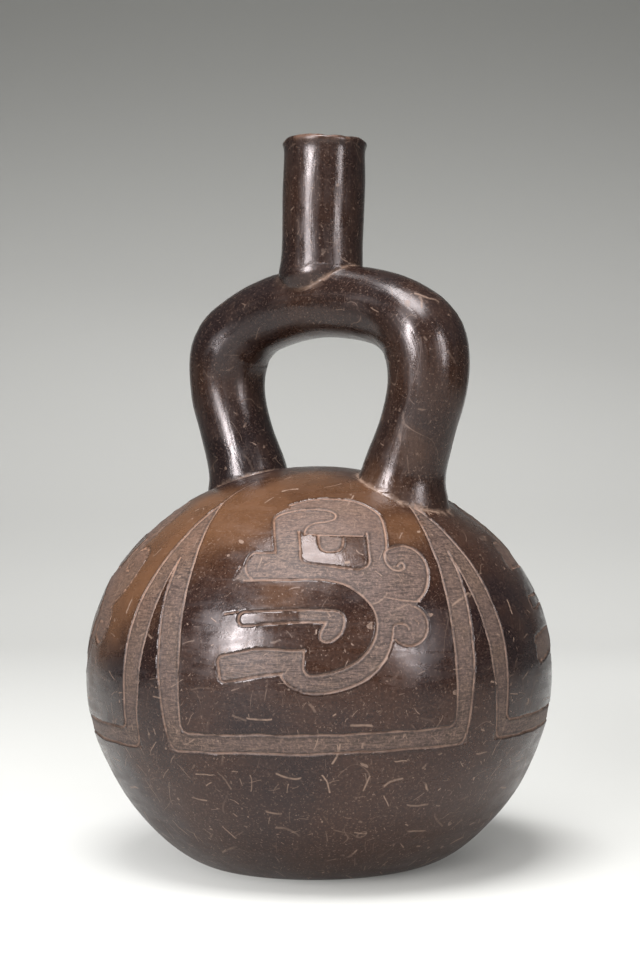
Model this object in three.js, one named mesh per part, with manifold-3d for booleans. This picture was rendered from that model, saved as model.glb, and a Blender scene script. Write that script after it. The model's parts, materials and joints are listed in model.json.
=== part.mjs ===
// A stirrup spout vessel in burnished fired clay: a round hollow bowl, a hollow stirrup
// that rises from its top as two legs, and one spout on the crown of the stirrup.
// Everything is one piece of clay. Millimetres, +Z up, the table at z = 0.
// The panel with the best seen head faces -Y. Angles are in degrees.

import * as THREE from 'three';
import { mergeVertices } from 'three/addons/utils/BufferGeometryUtils.js';
import Module from 'manifold-3d';

const wasm = await Module();
wasm.setup();

// Bowl
const bowlRadius = 75;
const widestHeight = 61.2;
const bowlRise = 64.8;
const bowlDrop = 72.5;
const footRadius = 33;
const footBlendAngle = -44;
const bowlWall = 5;
const bowlLean = 1.3;

// Stirrup: one bent tube, in a plane turned from the front. Its middle line is given at
// stations, as shares of its reach and rise, with shares of the tube's radius.
const stirrupTurn = 36.8;
const stirrupShift = 1.9;
const stirrupReach = 40.5;
const stirrupRise = 67;
const stirrupSink = 8.4;
const tubeRadius = 12;
const tubeWall = 4;
const stirrupStations = [
  { name: 'root', reach: 0.72, rise: -0.18, girth: 1.34 },
  { name: 'foot', reach: 0.735, rise: 0, girth: 1.34 },
  { name: 'ankle', reach: 0.78, rise: 0.174, girth: 1.1 },
  { name: 'leg', reach: 0.904, rise: 0.389, girth: 1 },
  { name: 'hip', reach: 0.995, rise: 0.604, girth: 1.05 },
  { name: 'shoulder', reach: 0.951, rise: 0.791, girth: 1.11 },
  { name: 'bend', reach: 0.743, rise: 0.906, girth: 1 },
  { name: 'arm', reach: 0.469, rise: 0.967, girth: 0.975 },
  { name: 'crown', reach: 0, rise: 1, girth: 0.99 },
];

// Spout: a plain tube whose root sits over the crown, with a slightly wider lip
const spoutLength = 52.5;
const spoutRadius = 13.2;
const spoutRootFlare = 1.2;
const spoutRootHeight = 8;
const spoutSeatDepth = 3;
const lipFlare = 0.7;
const lipBand = 5;
const lipRound = 0.6;
const spoutWall = 3.4;
const spoutLean = 1.4;
const spoutOffset = 0.6;

// Incised lines
const grooveWidth = 1.9;
const grooveDepth = 1.15;
const cutterRise = 0.8;
const sharpestBend = 50;

// Panels: a post of two splayed bands stands between each two panels
const postAzimuths = [-42.2, 40.7, 133, 226];
const postHalfWidth = 8.4;
const postTop = 52;
const postFoot = -5;
const postTaper = 2.5;
const postLineTop = 66;
const gapTop = 32;
const gapHalfWidth = 4.6;
const bandLow = -13.7;
const bandHigh = -9.5;
const cornerCut = 2.2;
const frontPanel = 0;

// Facets
const bowlSides = 36;
const bowlRows = 16;
const hollowSides = 20;
const hollowRows = 10;
const tubeSides = 16;
const tubeSteps = 30;
const boreSides = 10;
const boreSteps = 22;
const spoutSides = 20;
const lineStep = 14;
const frontCurveStep = 4.5;
const plainCurveStep = 8;
const shortestStep = 0.1;
const mergeDistance = 1e-4;

const degrees = Math.PI / 180;
const drawingRadius = bowlRadius;
const bowlCentre = new THREE.Vector3(0, 0, widestHeight);

function solidFrom(geometry) {
  geometry.deleteAttribute('normal');
  geometry.deleteAttribute('uv');
  const merged = mergeVertices(geometry, mergeDistance);
  return new wasm.Manifold(new wasm.Mesh({
    numProp: 3,
    vertProperties: new Float32Array(merged.attributes.position.array),
    triVerts: new Uint32Array(merged.index.array),
  }));
}

function geometryFrom(solid) {
  const mesh = solid.getMesh();
  const geometry = new THREE.BufferGeometry();
  geometry.setAttribute('position', new THREE.BufferAttribute(mesh.vertProperties, 3));
  geometry.setIndex(new THREE.BufferAttribute(mesh.triVerts, 1));
  geometry.computeVertexNormals();
  return geometry;
}

// Turns a profile of (radius, height) points about the Z axis
function turned(points, sides) {
  const geometry = new THREE.LatheGeometry(points, sides);
  geometry.rotateX(Math.PI / 2);
  return geometry;
}

// Half the bowl's outline, drawn inwards by an inset: a flat foot, a rounded edge and two
// quarter ellipses that meet at the widest level
function bowlProfile(inset, rows) {
  const radius = bowlRadius - inset;
  const drop = bowlDrop - inset;
  const foot = inset - bowlFootDrop;
  const start = footBlendAngle * degrees;
  const edge = new THREE.Vector2(radius * Math.cos(start), widestHeight + drop * Math.sin(start));
  const corner = edge.x - (edge.y - foot) * radius * Math.tan(-start) / drop;
  const blend = new THREE.QuadraticBezierCurve(
    new THREE.Vector2(footRadius, foot), new THREE.Vector2(corner, foot), edge);
  const lower = new THREE.EllipseCurve(0, widestHeight, radius, drop, start, 0);
  const upper = new THREE.EllipseCurve(0, widestHeight, radius, bowlRise - inset, 0, Math.PI / 2);
  return [
    new THREE.Vector2(0, foot),
    ...blend.getPoints(Math.round(rows / 6)),
    ...lower.getPoints(Math.round(rows / 3)).slice(1),
    ...upper.getPoints(Math.round(rows / 2)).slice(1, -1),
    new THREE.Vector2(0, widestHeight + bowlRise - inset),
  ];
}

// The leaning bowl reaches a little below the table, where it is ground flat
const bowlFootDrop = footRadius * Math.sin(bowlLean * degrees);
const lean = new THREE.Matrix4()
  .makeTranslation(bowlCentre.x, bowlCentre.y, bowlCentre.z)
  .multiply(new THREE.Matrix4().makeRotationY(-bowlLean * degrees))
  .multiply(new THREE.Matrix4().makeTranslation(-bowlCentre.x, -bowlCentre.y, -bowlCentre.z));

// A point of the bowl's outer surface: azimuth from the front, elevation from the centre
function bowlPoint(azimuth, elevation) {
  const height = elevation < 0 ? bowlDrop : bowlRise;
  const across = Math.cos(elevation * degrees) / bowlRadius;
  const up = Math.sin(elevation * degrees) / height;
  const reach = 1 / Math.hypot(across, up);
  const level = reach * Math.cos(elevation * degrees);
  return new THREE.Vector3(
    level * Math.sin(azimuth * degrees),
    -level * Math.cos(azimuth * degrees),
    widestHeight + reach * Math.sin(elevation * degrees));
}

function bowlNormal(point) {
  const height = point.z < widestHeight ? bowlDrop : bowlRise;
  return new THREE.Vector3(
    point.x / bowlRadius ** 2,
    point.y / bowlRadius ** 2,
    (point.z - widestHeight) / height ** 2).normalize();
}

// The height of the bowl's surface at a distance from its axis
function bowlTopAt(reach) {
  return widestHeight + bowlRise * Math.sqrt(1 - (reach / bowlRadius) ** 2);
}

// The stirrup's middle line, from one root inside the bowl to the other, with its radii
const footStation = stirrupStations.find((station) => station.name === 'foot');
const stirrupFootHeight = bowlTopAt(footStation.reach * stirrupReach) - stirrupSink;
const crownHeight = stirrupFootHeight + stirrupRise;
const crownTop = crownHeight + tubeRadius * stirrupStations.at(-1).girth;

function stirrupRow(side, station) {
  const across = side * station.reach * stirrupReach + stirrupShift;
  const point = new THREE.Vector3(
    across * Math.cos(stirrupTurn * degrees),
    -across * Math.sin(stirrupTurn * degrees),
    stirrupFootHeight + station.rise * stirrupRise);
  return { point, radius: station.girth * tubeRadius };
}

const stirrupRows = [
  ...stirrupStations.map((station) => stirrupRow(-1, station)),
  ...stirrupStations.slice(0, -1).reverse().map((station) => stirrupRow(1, station)),
];

// The tube's radius at a point of its middle line, blended between the two nearest rows
function radiusNear(point) {
  const byDistance = stirrupRows
    .map((row) => ({ radius: row.radius, distance: row.point.distanceTo(point) }))
    .sort((first, second) => first.distance - second.distance);
  const [near, next] = byDistance;
  return (near.radius * next.distance + next.radius * near.distance) / (near.distance + next.distance);
}

// A round tube of changing radius: a section of unit radius swept along the middle line,
// whose points then move out to the radius of their own station
function stirrupTube(inset, sides, steps) {
  const curve = new THREE.CatmullRomCurve3(stirrupRows.map((row) => row.point), false, 'centripetal');
  const section = new THREE.Shape();
  section.absarc(0, 0, 1, 0, 2 * Math.PI);
  const geometry = new THREE.ExtrudeGeometry(section, {
    steps, extrudePath: curve, bevelEnabled: false, curveSegments: sides / 2,
  });
  const stations = curve.getSpacedPoints(steps);
  const radii = stations.map((station) => radiusNear(station) - inset);
  const position = geometry.attributes.position;
  const point = new THREE.Vector3();
  for (let index = 0; index < position.count; index += 1) {
    point.fromBufferAttribute(position, index);
    const distances = stations.map((station) => station.distanceTo(point));
    const nearest = distances.indexOf(Math.min(...distances));
    point.sub(stations[nearest]).multiplyScalar(radii[nearest]).add(stations[nearest]);
    position.setXYZ(index, point.x, point.y, point.z);
  }
  return geometry;
}

// The spout stands on the crown and leans a little to the right
function placedSpout(profile) {
  const points = profile.map(([radius, height]) => new THREE.Vector2(radius, height));
  const geometry = turned(points, spoutSides);
  geometry.rotateY(spoutLean * degrees);
  geometry.translate(spoutOffset, 0, crownHeight);
  return geometry;
}

function spoutOutside() {
  const seat = crownTop - crownHeight - spoutSeatDepth;
  const root = spoutRadius + spoutRootFlare;
  return placedSpout([
    [0, 0],
    [spoutRadius - tubeWall, 0],
    [root, seat],
    [spoutRadius + spoutRootFlare * 0.3, seat + spoutRootHeight * 0.6],
    [spoutRadius, seat + spoutRootHeight],
    [spoutRadius, spoutLength - lipBand],
    [spoutRadius + lipFlare, spoutLength - lipRound],
    [spoutRadius + lipFlare - lipRound, spoutLength],
    [0, spoutLength],
  ]);
}

function spoutBore() {
  const radius = spoutRadius - spoutWall;
  return placedSpout([
    [0, 0],
    [tubeRadius - tubeWall - 1, 0],
    [radius, crownTop - crownHeight],
    [radius, spoutLength - lipBand],
    [radius + lipFlare, spoutLength],
    [radius + lipFlare, spoutLength + lipBand],
    [0, spoutLength + lipBand],
  ]);
}

// A V shaped groove along points of the bowl: a straight prism, bent on to the surface
function groove(points) {
  const section = new THREE.Shape();
  const topHalf = grooveWidth / 2 * (1 + cutterRise / grooveDepth);
  section.moveTo(-topHalf, cutterRise);
  section.lineTo(0, -grooveDepth);
  section.lineTo(topHalf, cutterRise);
  section.closePath();
  const steps = points.length - 1;
  const geometry = new THREE.ExtrudeGeometry(section, { steps, depth: steps, bevelEnabled: false });
  const rails = points.map((point, index) => {
    const before = points[Math.max(index - 1, 0)];
    const after = points[Math.min(index + 1, steps)];
    const normal = bowlNormal(point);
    const along = after.clone().sub(before).normalize();
    const side = normal.clone().cross(along).normalize();
    const back = point.clone().sub(before);
    const mitre = back.lengthSq() > 0 ? Math.max(back.normalize().dot(along), 0.6) : 1;
    return { point, normal, side: side.multiplyScalar(1 / mitre) };
  });
  const position = geometry.attributes.position;
  for (let index = 0; index < position.count; index += 1) {
    const rail = rails[Math.round(position.getZ(index))];
    const bent = rail.point.clone()
      .addScaledVector(rail.side, position.getX(index))
      .addScaledVector(rail.normal, position.getY(index));
    position.setXYZ(index, bent.x, bent.y, bent.z);
  }
  return solidFrom(geometry);
}

// Cuts a line in two at each corner too sharp for one bent groove
function runsBetweenCorners(points) {
  const runs = [[points[0]]];
  for (let index = 1; index < points.length; index += 1) {
    runs.at(-1).push(points[index]);
    if (index === points.length - 1) break;
    const into = points[index].clone().sub(points[index - 1]);
    const out = points[index + 1].clone().sub(points[index]);
    if (into.angleTo(out) > sharpestBend * degrees) runs.push([points[index]]);
  }
  return runs;
}

// Even steps along the drawing, with more of them where it bends
function sampled(path, curveStep) {
  const points = [path.curves[0].getPoint(0)];
  for (const curve of path.curves) {
    const straight = curve.type === 'LineCurve';
    const count = Math.round(curve.getLength() / (straight ? lineStep : curveStep));
    const fewest = straight ? 1 : 3;
    const last = Math.max(fewest, count);
    for (let index = 1; index <= last; index += 1) points.push(curve.getPoint(index / last));
  }
  return points.filter((point, index) => index === 0 || point.distanceTo(points[index - 1]) > shortestStep);
}

// The head that each panel carries, drawn in millimetres on the bowl: across from the
// panel's middle, and up from the widest level. It looks to the left, with its mouth open.
function headStrokes(plainer) {
  const jaws = new THREE.Path();
  jaws.moveTo(-21.5, 33.7);
  jaws.lineTo(-0.5, 33.7);
  jaws.absellipse(-0.5, 19.3, 19.1, 14.4, Math.PI / 2, -Math.PI / 2, true);
  jaws.quadraticCurveTo(-3, 5.4, -2.8, 12.3);
  jaws.lineTo(-18, 12.3);
  jaws.lineTo(-28.6, 10.2);
  jaws.lineTo(-28, 3.3);
  jaws.lineTo(-9.7, 5.6);
  const chin = new THREE.Path();
  chin.moveTo(-9.7, 5.6);
  chin.quadraticCurveTo(-8.5, -0.2, 1.5, -0.2);
  chin.absellipse(1.5, 17.5, 21.6, 17.7, -Math.PI / 2, 0, false);
  chin.quadraticCurveTo(25, 20, 28, 17.6);
  const lowerCurl = new THREE.Path();
  lowerCurl.absarc(28.4, 18.2, 6, Math.PI * 1.25, Math.PI * 2.36, false);
  const upperCurl = new THREE.Path();
  upperCurl.absellipse(27.6, 34.8, 8.8, 10.6, -Math.PI / 3, Math.PI * 0.68, false);
  upperCurl.quadraticCurveTo(22, 36.4, 27.2, 36.3);
  const crown = new THREE.Path();
  crown.moveTo(-7, 66.7);
  crown.bezierCurveTo(3, 72.5, 17, 69.5, 22.3, 60);
  crown.quadraticCurveTo(24, 54, 23.1, 44);
  const brow = new THREE.Path();
  brow.moveTo(-11.7, 43.6);
  brow.lineTo(-12.6, 58);
  brow.quadraticCurveTo(-12.5, 61.8, -5, 63.3);
  brow.bezierCurveTo(2, 64.8, 8, 62, 7.4, 59);
  brow.quadraticCurveTo(-2.4, 57.6, -2.6, 52);
  const snout = new THREE.Path();
  snout.moveTo(-11.7, 43.6);
  snout.lineTo(-18, 44);
  snout.quadraticCurveTo(-23.5, 38.5, -18.6, 33.8);
  const eye = new THREE.Path();
  eye.moveTo(-4.3, 52);
  eye.lineTo(-3.9, 42);
  eye.lineTo(-1.5, 39.1);
  eye.lineTo(12, 37.1);
  eye.quadraticCurveTo(17.5, 36.8, 17.4, 41);
  eye.lineTo(17.2, 51.4);
  const pupil = new THREE.Path();
  pupil.moveTo(1.8, 50.7);
  pupil.bezierCurveTo(1.2, 41.8, 9.6, 42, 9.4, 49.6);
  const tongue = new THREE.Path();
  tongue.moveTo(-22.5, 23.5);
  tongue.lineTo(6.5, 23.3);
  tongue.bezierCurveTo(11, 22, 8, 14.3, 4, 14.3);
  tongue.lineTo(3.4, 19.8);
  tongue.lineTo(-21, 19.3);
  tongue.lineTo(-22.5, 23.5);
  const outline = [jaws, chin, upperCurl, crown, eye];
  const curveStep = plainer ? plainCurveStep : frontCurveStep;
  const strokes = plainer ? outline : [...outline, lowerCurl, brow, snout, pupil, tongue];
  return strokes.map((stroke) => sampled(stroke, curveStep));
}

function onPanel(middle) {
  return ({ x, y }) => {
    const elevation = y / drawingRadius / degrees;
    const azimuth = middle + x / drawingRadius / degrees / Math.cos(elevation * degrees);
    return bowlPoint(azimuth, elevation);
  };
}

// How far a post's outer line, and the gap's line inside it, stand from its middle
function postSpread(elevation) {
  const share = Math.min(Math.max((elevation - postFoot) / (postTop - postFoot), 0), 1);
  return postHalfWidth * (1 - share ** postTaper);
}

function gapSpread(elevation) {
  return gapHalfWidth * (gapTop - elevation) / (gapTop - bandHigh);
}

// A U shaped line between two posts: down beside the left one, along the foot and up again
function frameLine(left, right, top, low, spread, peak) {
  const rows = Math.round((top - low) * degrees * bowlRadius / lineStep);
  const side = [];
  if (peak > top) side.push([0, peak]);
  for (let row = 0; row < rows; row += 1) {
    const elevation = top + (low + cornerCut - top) * row / (rows - 1);
    side.push([spread(elevation), elevation]);
  }
  side.push([spread(low) + cornerCut, low]);
  const inner = spread(low) + cornerCut;
  const span = right - left - 2 * inner;
  const columns = Math.round(span * degrees * bowlRadius / lineStep);
  const foot = [];
  for (let column = 1; column < columns; column += 1) {
    foot.push([left + inner + span * column / columns, low]);
  }
  return [
    ...side.map(([offset, elevation]) => [left + offset, elevation]),
    ...foot,
    ...side.toReversed().map(([offset, elevation]) => [right - offset, elevation]),
  ].map(([azimuth, elevation]) => bowlPoint(azimuth, elevation));
}

function panelGrooves() {
  const lines = [];
  postAzimuths.forEach((left, index) => {
    const next = postAzimuths[(index + 1) % postAzimuths.length];
    const right = next > left ? next : next + 360;
    lines.push(frameLine(left, right, gapTop, bandLow, gapSpread, gapTop));
    lines.push(frameLine(left, right, postTop, bandHigh, postSpread, postTop));
    lines.push([postTop, (postTop + postLineTop) / 2, postLineTop].map((elevation) => bowlPoint(left, elevation)));
    const place = onPanel((left + right) / 2);
    headStrokes(index !== frontPanel).forEach((stroke) => lines.push(stroke.map(place)));
  });
  return lines.flatMap(runsBetweenCorners).map(groove);
}

// The bowl with its grooves leans as one, and is then ground flat at the table
let bowl = solidFrom(turned(bowlProfile(0, bowlRows), bowlSides));
for (const cutter of panelGrooves()) bowl = bowl.subtract(cutter);
bowl = bowl.transform(lean.toArray());
const hollow = solidFrom(turned(bowlProfile(bowlWall, hollowRows), hollowSides)).transform(lean.toArray());

const groundSize = 3 * bowlRadius;
const ground = new THREE.BoxGeometry(groundSize, groundSize, groundSize);
ground.translate(0, 0, -groundSize / 2);

const vesselSolid = bowl
  .add(solidFrom(stirrupTube(0, tubeSides, tubeSteps)))
  .add(solidFrom(spoutOutside()))
  .subtract(hollow)
  .subtract(solidFrom(stirrupTube(tubeWall, boreSides, boreSteps)))
  .subtract(solidFrom(spoutBore()))
  .subtract(solidFrom(ground));

const clay = new THREE.MeshStandardMaterial({ color: 0x4b3a33, roughness: 0.35, metalness: 0 });
const vessel = new THREE.Mesh(geometryFrom(vesselSolid), clay);
vessel.name = 'vessel';

const group = new THREE.Group();
group.add(vessel);

export default group;
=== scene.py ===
"""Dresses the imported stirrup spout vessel: burnished clay, incised panels and a plain studio.

The vessel is one fired-clay piece. Its bowl, stirrup and spout are turned and bent from the
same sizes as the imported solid, joined, hollowed, and then carved with fine incised lines.
Lengths in the form classes are millimetres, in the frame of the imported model.
"""

from __future__ import annotations

import json
import logging
import math
from collections.abc import Callable, Iterable, Iterator
from contextlib import contextmanager
from dataclasses import dataclass, field
from functools import reduce
from types import SimpleNamespace

import bpy
import numpy as np
from mathutils import Matrix, Vector, kdtree, noise
from mathutils.bvhtree import BVHTree

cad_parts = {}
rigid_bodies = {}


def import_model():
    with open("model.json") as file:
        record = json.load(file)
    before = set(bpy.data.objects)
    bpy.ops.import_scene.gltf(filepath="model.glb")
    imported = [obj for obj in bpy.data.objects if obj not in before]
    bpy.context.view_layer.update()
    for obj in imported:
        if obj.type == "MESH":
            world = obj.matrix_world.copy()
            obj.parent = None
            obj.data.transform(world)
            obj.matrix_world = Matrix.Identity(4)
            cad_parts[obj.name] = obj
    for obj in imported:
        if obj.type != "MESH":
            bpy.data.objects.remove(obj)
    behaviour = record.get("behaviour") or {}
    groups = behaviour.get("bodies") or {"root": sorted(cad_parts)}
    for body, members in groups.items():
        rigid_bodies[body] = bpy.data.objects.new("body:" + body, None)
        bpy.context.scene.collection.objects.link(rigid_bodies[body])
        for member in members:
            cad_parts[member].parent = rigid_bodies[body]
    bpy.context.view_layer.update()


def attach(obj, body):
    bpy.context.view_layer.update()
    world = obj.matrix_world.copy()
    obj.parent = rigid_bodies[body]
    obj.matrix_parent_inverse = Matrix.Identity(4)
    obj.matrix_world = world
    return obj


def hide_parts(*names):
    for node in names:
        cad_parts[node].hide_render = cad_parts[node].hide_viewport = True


LOG = logging.getLogger("vessel")
MM = 0.001
VESSEL_NODE = "vessel"
NOISE_SEED = 5
SMOOTH_ANGLE = 48.0

Piece = bpy.types.Object
Socket = bpy.types.NodeSocket
Tree = bpy.types.NodeTree
Pair = tuple[float, float]
Colour = tuple[int, int, int]
Rows = list[tuple[Vector, float]]


def shares(count: int) -> list[float]:
    """Equal steps from just above 0 up to 1."""
    return [step / count for step in range(1, count + 1)]


@dataclass(frozen=True)
class BowlForm:
    """The bowl's outline: two quarter ellipses over a flat ground foot, leaning a little."""

    radius: float = 75.0
    widest: float = 61.2
    rise: float = 64.8
    drop: float = 72.5
    foot_radius: float = 33.0
    foot_blend: float = -44.0
    wall: float = 5.0
    lean: float = 1.3

    @property
    def foot_drop(self) -> float:
        """How far the leaning foot reaches below the table before it is ground flat."""
        return self.foot_radius * math.sin(math.radians(self.lean))

    @property
    def lean_matrix(self) -> Matrix:
        """The lean about the bowl's middle, in millimetres."""
        middle = Matrix.Translation((0, 0, self.widest))
        turn = Matrix.Rotation(math.radians(-self.lean), 4, "Y")
        return middle @ turn @ middle.inverted()

    def profile(self, inset: float, rows: int) -> list[Pair]:
        """Half the outline from the foot's middle to the top, drawn inwards by an inset.

        Args:
            inset: Distance inside the outer surface.
            rows: Number of steps along the whole outline.

        Returns:
            Radius and height pairs.
        """
        radius, drop, rise = self.radius - inset, self.drop - inset, self.rise - inset
        foot = inset - self.foot_drop
        start = math.radians(self.foot_blend)
        edge = (radius * math.cos(start), self.widest + drop * math.sin(start))
        corner = edge[0] - (edge[1] - foot) * radius * math.tan(-start) / drop
        points = [(0.0, foot)]
        points += [(self.foot_radius * t, foot) for t in shares(max(rows // 8, 3))]
        for t in shares(max(rows // 6, 4)):
            x = (1 - t) ** 2 * self.foot_radius + 2 * t * (1 - t) * corner + t * t * edge[0]
            z = (1 - t) ** 2 * foot + 2 * t * (1 - t) * foot + t * t * edge[1]
            points.append((x, z))
        for t in shares(max(rows // 4, 4)):
            angle = start * (1 - t)
            points.append((radius * math.cos(angle), self.widest + drop * math.sin(angle)))
        for t in shares(max(rows // 2, 8)):
            angle = math.pi / 2 * t
            level = radius * math.cos(angle) if t < 1 else 0.0
            points.append((level, self.widest + rise * math.sin(angle)))
        return points

    def top_at(self, reach: float) -> float:
        """Height of the upper surface at a distance from the axis."""
        return self.widest + self.rise * math.sqrt(1 - (reach / self.radius) ** 2)

    def point(self, azimuth: np.ndarray, elevation: np.ndarray) -> np.ndarray:
        """Points of the upright outer surface.

        Args:
            azimuth: Degrees from the front, positive to the right.
            elevation: Degrees above the widest level, seen from the middle.

        Returns:
            One row of three coordinates for each pair.
        """
        az, el = np.radians(azimuth), np.radians(elevation)
        height = np.where(el < 0, self.drop, self.rise)
        reach = 1 / np.hypot(np.cos(el) / self.radius, np.sin(el) / height)
        level = reach * np.cos(el)
        return np.stack([level * np.sin(az), -level * np.cos(az), self.widest + reach * np.sin(el)], axis=-1)

    def angles(self, points: np.ndarray) -> tuple[np.ndarray, np.ndarray]:
        """Azimuth and elevation, in degrees, of points given in the upright frame."""
        azimuth = np.degrees(np.arctan2(points[:, 0], -points[:, 1]))
        level = np.hypot(points[:, 0], points[:, 1])
        return azimuth, np.degrees(np.arctan2(points[:, 2] - self.widest, level))

    def upright(self, points: np.ndarray) -> np.ndarray:
        """Points of the leaning bowl in the upright frame of the drawing."""
        back = np.array(self.lean_matrix.inverted())
        return points @ back[:3, :3].T + back[:3, 3]

    def leaning(self, points: np.ndarray) -> np.ndarray:
        """Points of the upright frame back on the leaning bowl."""
        there = np.array(self.lean_matrix)
        return points @ there[:3, :3].T + there[:3, 3]

    def normal(self, points: np.ndarray) -> np.ndarray:
        """Outward unit normals of the upright ellipsoid at points."""
        height = np.where(points[:, 2] < self.widest, self.drop, self.rise)
        normals = np.stack([
            points[:, 0] / self.radius ** 2,
            points[:, 1] / self.radius ** 2,
            (points[:, 2] - self.widest) / height ** 2,
        ], axis=-1)
        return normals / np.linalg.norm(normals, axis=1, keepdims=True)


@dataclass(frozen=True)
class StirrupForm:
    """The bent tube: stations of its middle line as shares of its reach, rise and radius."""

    turn: float = 36.8
    shift: float = 1.9
    reach: float = 40.5
    rise: float = 67.0
    sink: float = 8.4
    radius: float = 12.0
    wall: float = 4.0
    stations: tuple[tuple[float, float, float], ...] = (
        (0.72, -0.18, 1.34),
        (0.735, 0.0, 1.34),
        (0.78, 0.174, 1.10),
        (0.904, 0.389, 1.0),
        (0.995, 0.604, 1.05),
        (0.951, 0.791, 1.11),
        (0.743, 0.906, 1.0),
        (0.469, 0.967, 0.975),
        (0.0, 1.0, 0.99),
    )

    def foot_height(self, bowl: BowlForm) -> float:
        """Height of the foot station, sunk below the bowl's surface."""
        return bowl.top_at(self.stations[1][0] * self.reach) - self.sink

    def crown_height(self, bowl: BowlForm) -> float:
        """Height of the middle line at the crown."""
        return self.foot_height(bowl) + self.rise

    def rows(self, bowl: BowlForm) -> Rows:
        """Points of the middle line with radii, from the far root to the near one."""
        across = Vector((math.cos(math.radians(self.turn)), -math.sin(math.radians(self.turn)), 0))
        base = self.foot_height(bowl)

        def row(side: int, station: tuple[float, float, float]) -> tuple[Vector, float]:
            """One station on one side of the crown."""
            reach, rise, girth = station
            place = across * (side * reach * self.reach + self.shift)
            place.z = base + rise * self.rise
            return place, girth * self.radius

        far = [row(-1, station) for station in self.stations]
        near = [row(1, station) for station in reversed(self.stations[:-1])]
        return far + near

    def smooth_rows(self, bowl: BowlForm, per_span: int) -> Rows:
        """The rows with centripetal curve points and eased radii put between them."""
        rows = self.rows(bowl)
        first = rows[0][0] * 2 - rows[1][0]
        last = rows[-1][0] * 2 - rows[-2][0]
        points = [first, *[place for place, _ in rows], last]
        radii = [rows[0][1], *[radius for _, radius in rows], rows[-1][1]]
        smooth: Rows = []
        for index in range(1, len(points) - 2):
            for step in range(per_span):
                t = step / per_span
                place = centripetal(points[index - 1:index + 3], t)
                ring = cardinal(radii[index - 1:index + 3], t)
                smooth.append((place, ring))
        smooth.append((points[-2], radii[-2]))
        return smooth


@dataclass(frozen=True)
class SpoutForm:
    """The plain tube on the crown, with a slightly wider lip."""

    length: float = 52.5
    radius: float = 13.2
    root_flare: float = 0.7
    root_height: float = 8.0
    seat_depth: float = 3.0
    lip_flare: float = 0.7
    lip_band: float = 5.0
    lip_round: float = 1.3
    wall: float = 3.4
    lean: float = 1.4
    offset: float = 0.6


def centripetal(points: list[Vector], t: float) -> Vector:
    """A point of the centripetal curve through the two middle points of four."""
    knots = [0.0]
    for before, after in zip(points, points[1:]):
        knots.append(knots[-1] + max((after - before).length, 1e-6) ** 0.5)
    place = knots[1] + t * (knots[2] - knots[1])
    layer = list(points)
    for depth in (1, 2, 3):
        following = []
        for index in range(4 - depth):
            if depth == 3:
                low, high = knots[1], knots[2]
            else:
                low, high = knots[index], knots[index + depth]
            share = (place - low) / (high - low)
            following.append(layer[index].lerp(layer[index + 1], share))
        layer = following
    return layer[0]


def cardinal(values: list[float], t: float) -> float:
    """A smooth value between the two middle values of four."""
    before, low, high, after = values
    start, end = (high - before) / 2, (after - low) / 2
    return (
        (2 * t ** 3 - 3 * t ** 2 + 1) * low + (t ** 3 - 2 * t ** 2 + t) * start
        + (-2 * t ** 3 + 3 * t ** 2) * high + (t ** 3 - t ** 2) * end
    )


class Pen:
    """Draws one stroke of the pattern as closely spaced points, in drawing millimetres.

    Points count to the right from the panel's middle and up from the bowl's widest level.
    """

    step = 0.4

    def __init__(self) -> None:
        """Starts with no points."""
        self.points: list[Pair] = []

    def line(self, x: float, y: float) -> None:
        """Goes on straight to a point."""
        start = self.points[-1]
        for t in shares(max(1, round(math.dist(start, (x, y)) / self.step))):
            self.points.append((start[0] + (x - start[0]) * t, start[1] + (y - start[1]) * t))

    def curve(self, *controls: Pair) -> None:
        """Goes on along a Bezier curve whose last control is its end."""
        corners = [self.points[-1], *controls]
        rough = sum(math.dist(a, b) for a, b in zip(corners, corners[1:]))
        for t in shares(max(4, round(rough / self.step))):
            layer = list(corners)
            while len(layer) > 1:
                layer = [
                    (a[0] + (b[0] - a[0]) * t, a[1] + (b[1] - a[1]) * t)
                    for a, b in zip(layer, layer[1:])
                ]
            self.points.append(layer[0])

    def arc(self, centre: Pair, radii: Pair, start: float, end: float) -> None:
        """Goes on along an ellipse from one angle to another, in degrees."""
        count = max(6, round(abs(math.radians(end - start)) * max(radii) / self.step))
        for index in range(count + 1):
            angle = math.radians(start + (end - start) * index / count)
            place = (centre[0] + radii[0] * math.cos(angle), centre[1] + radii[1] * math.sin(angle))
            self.points.append(place)


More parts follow.
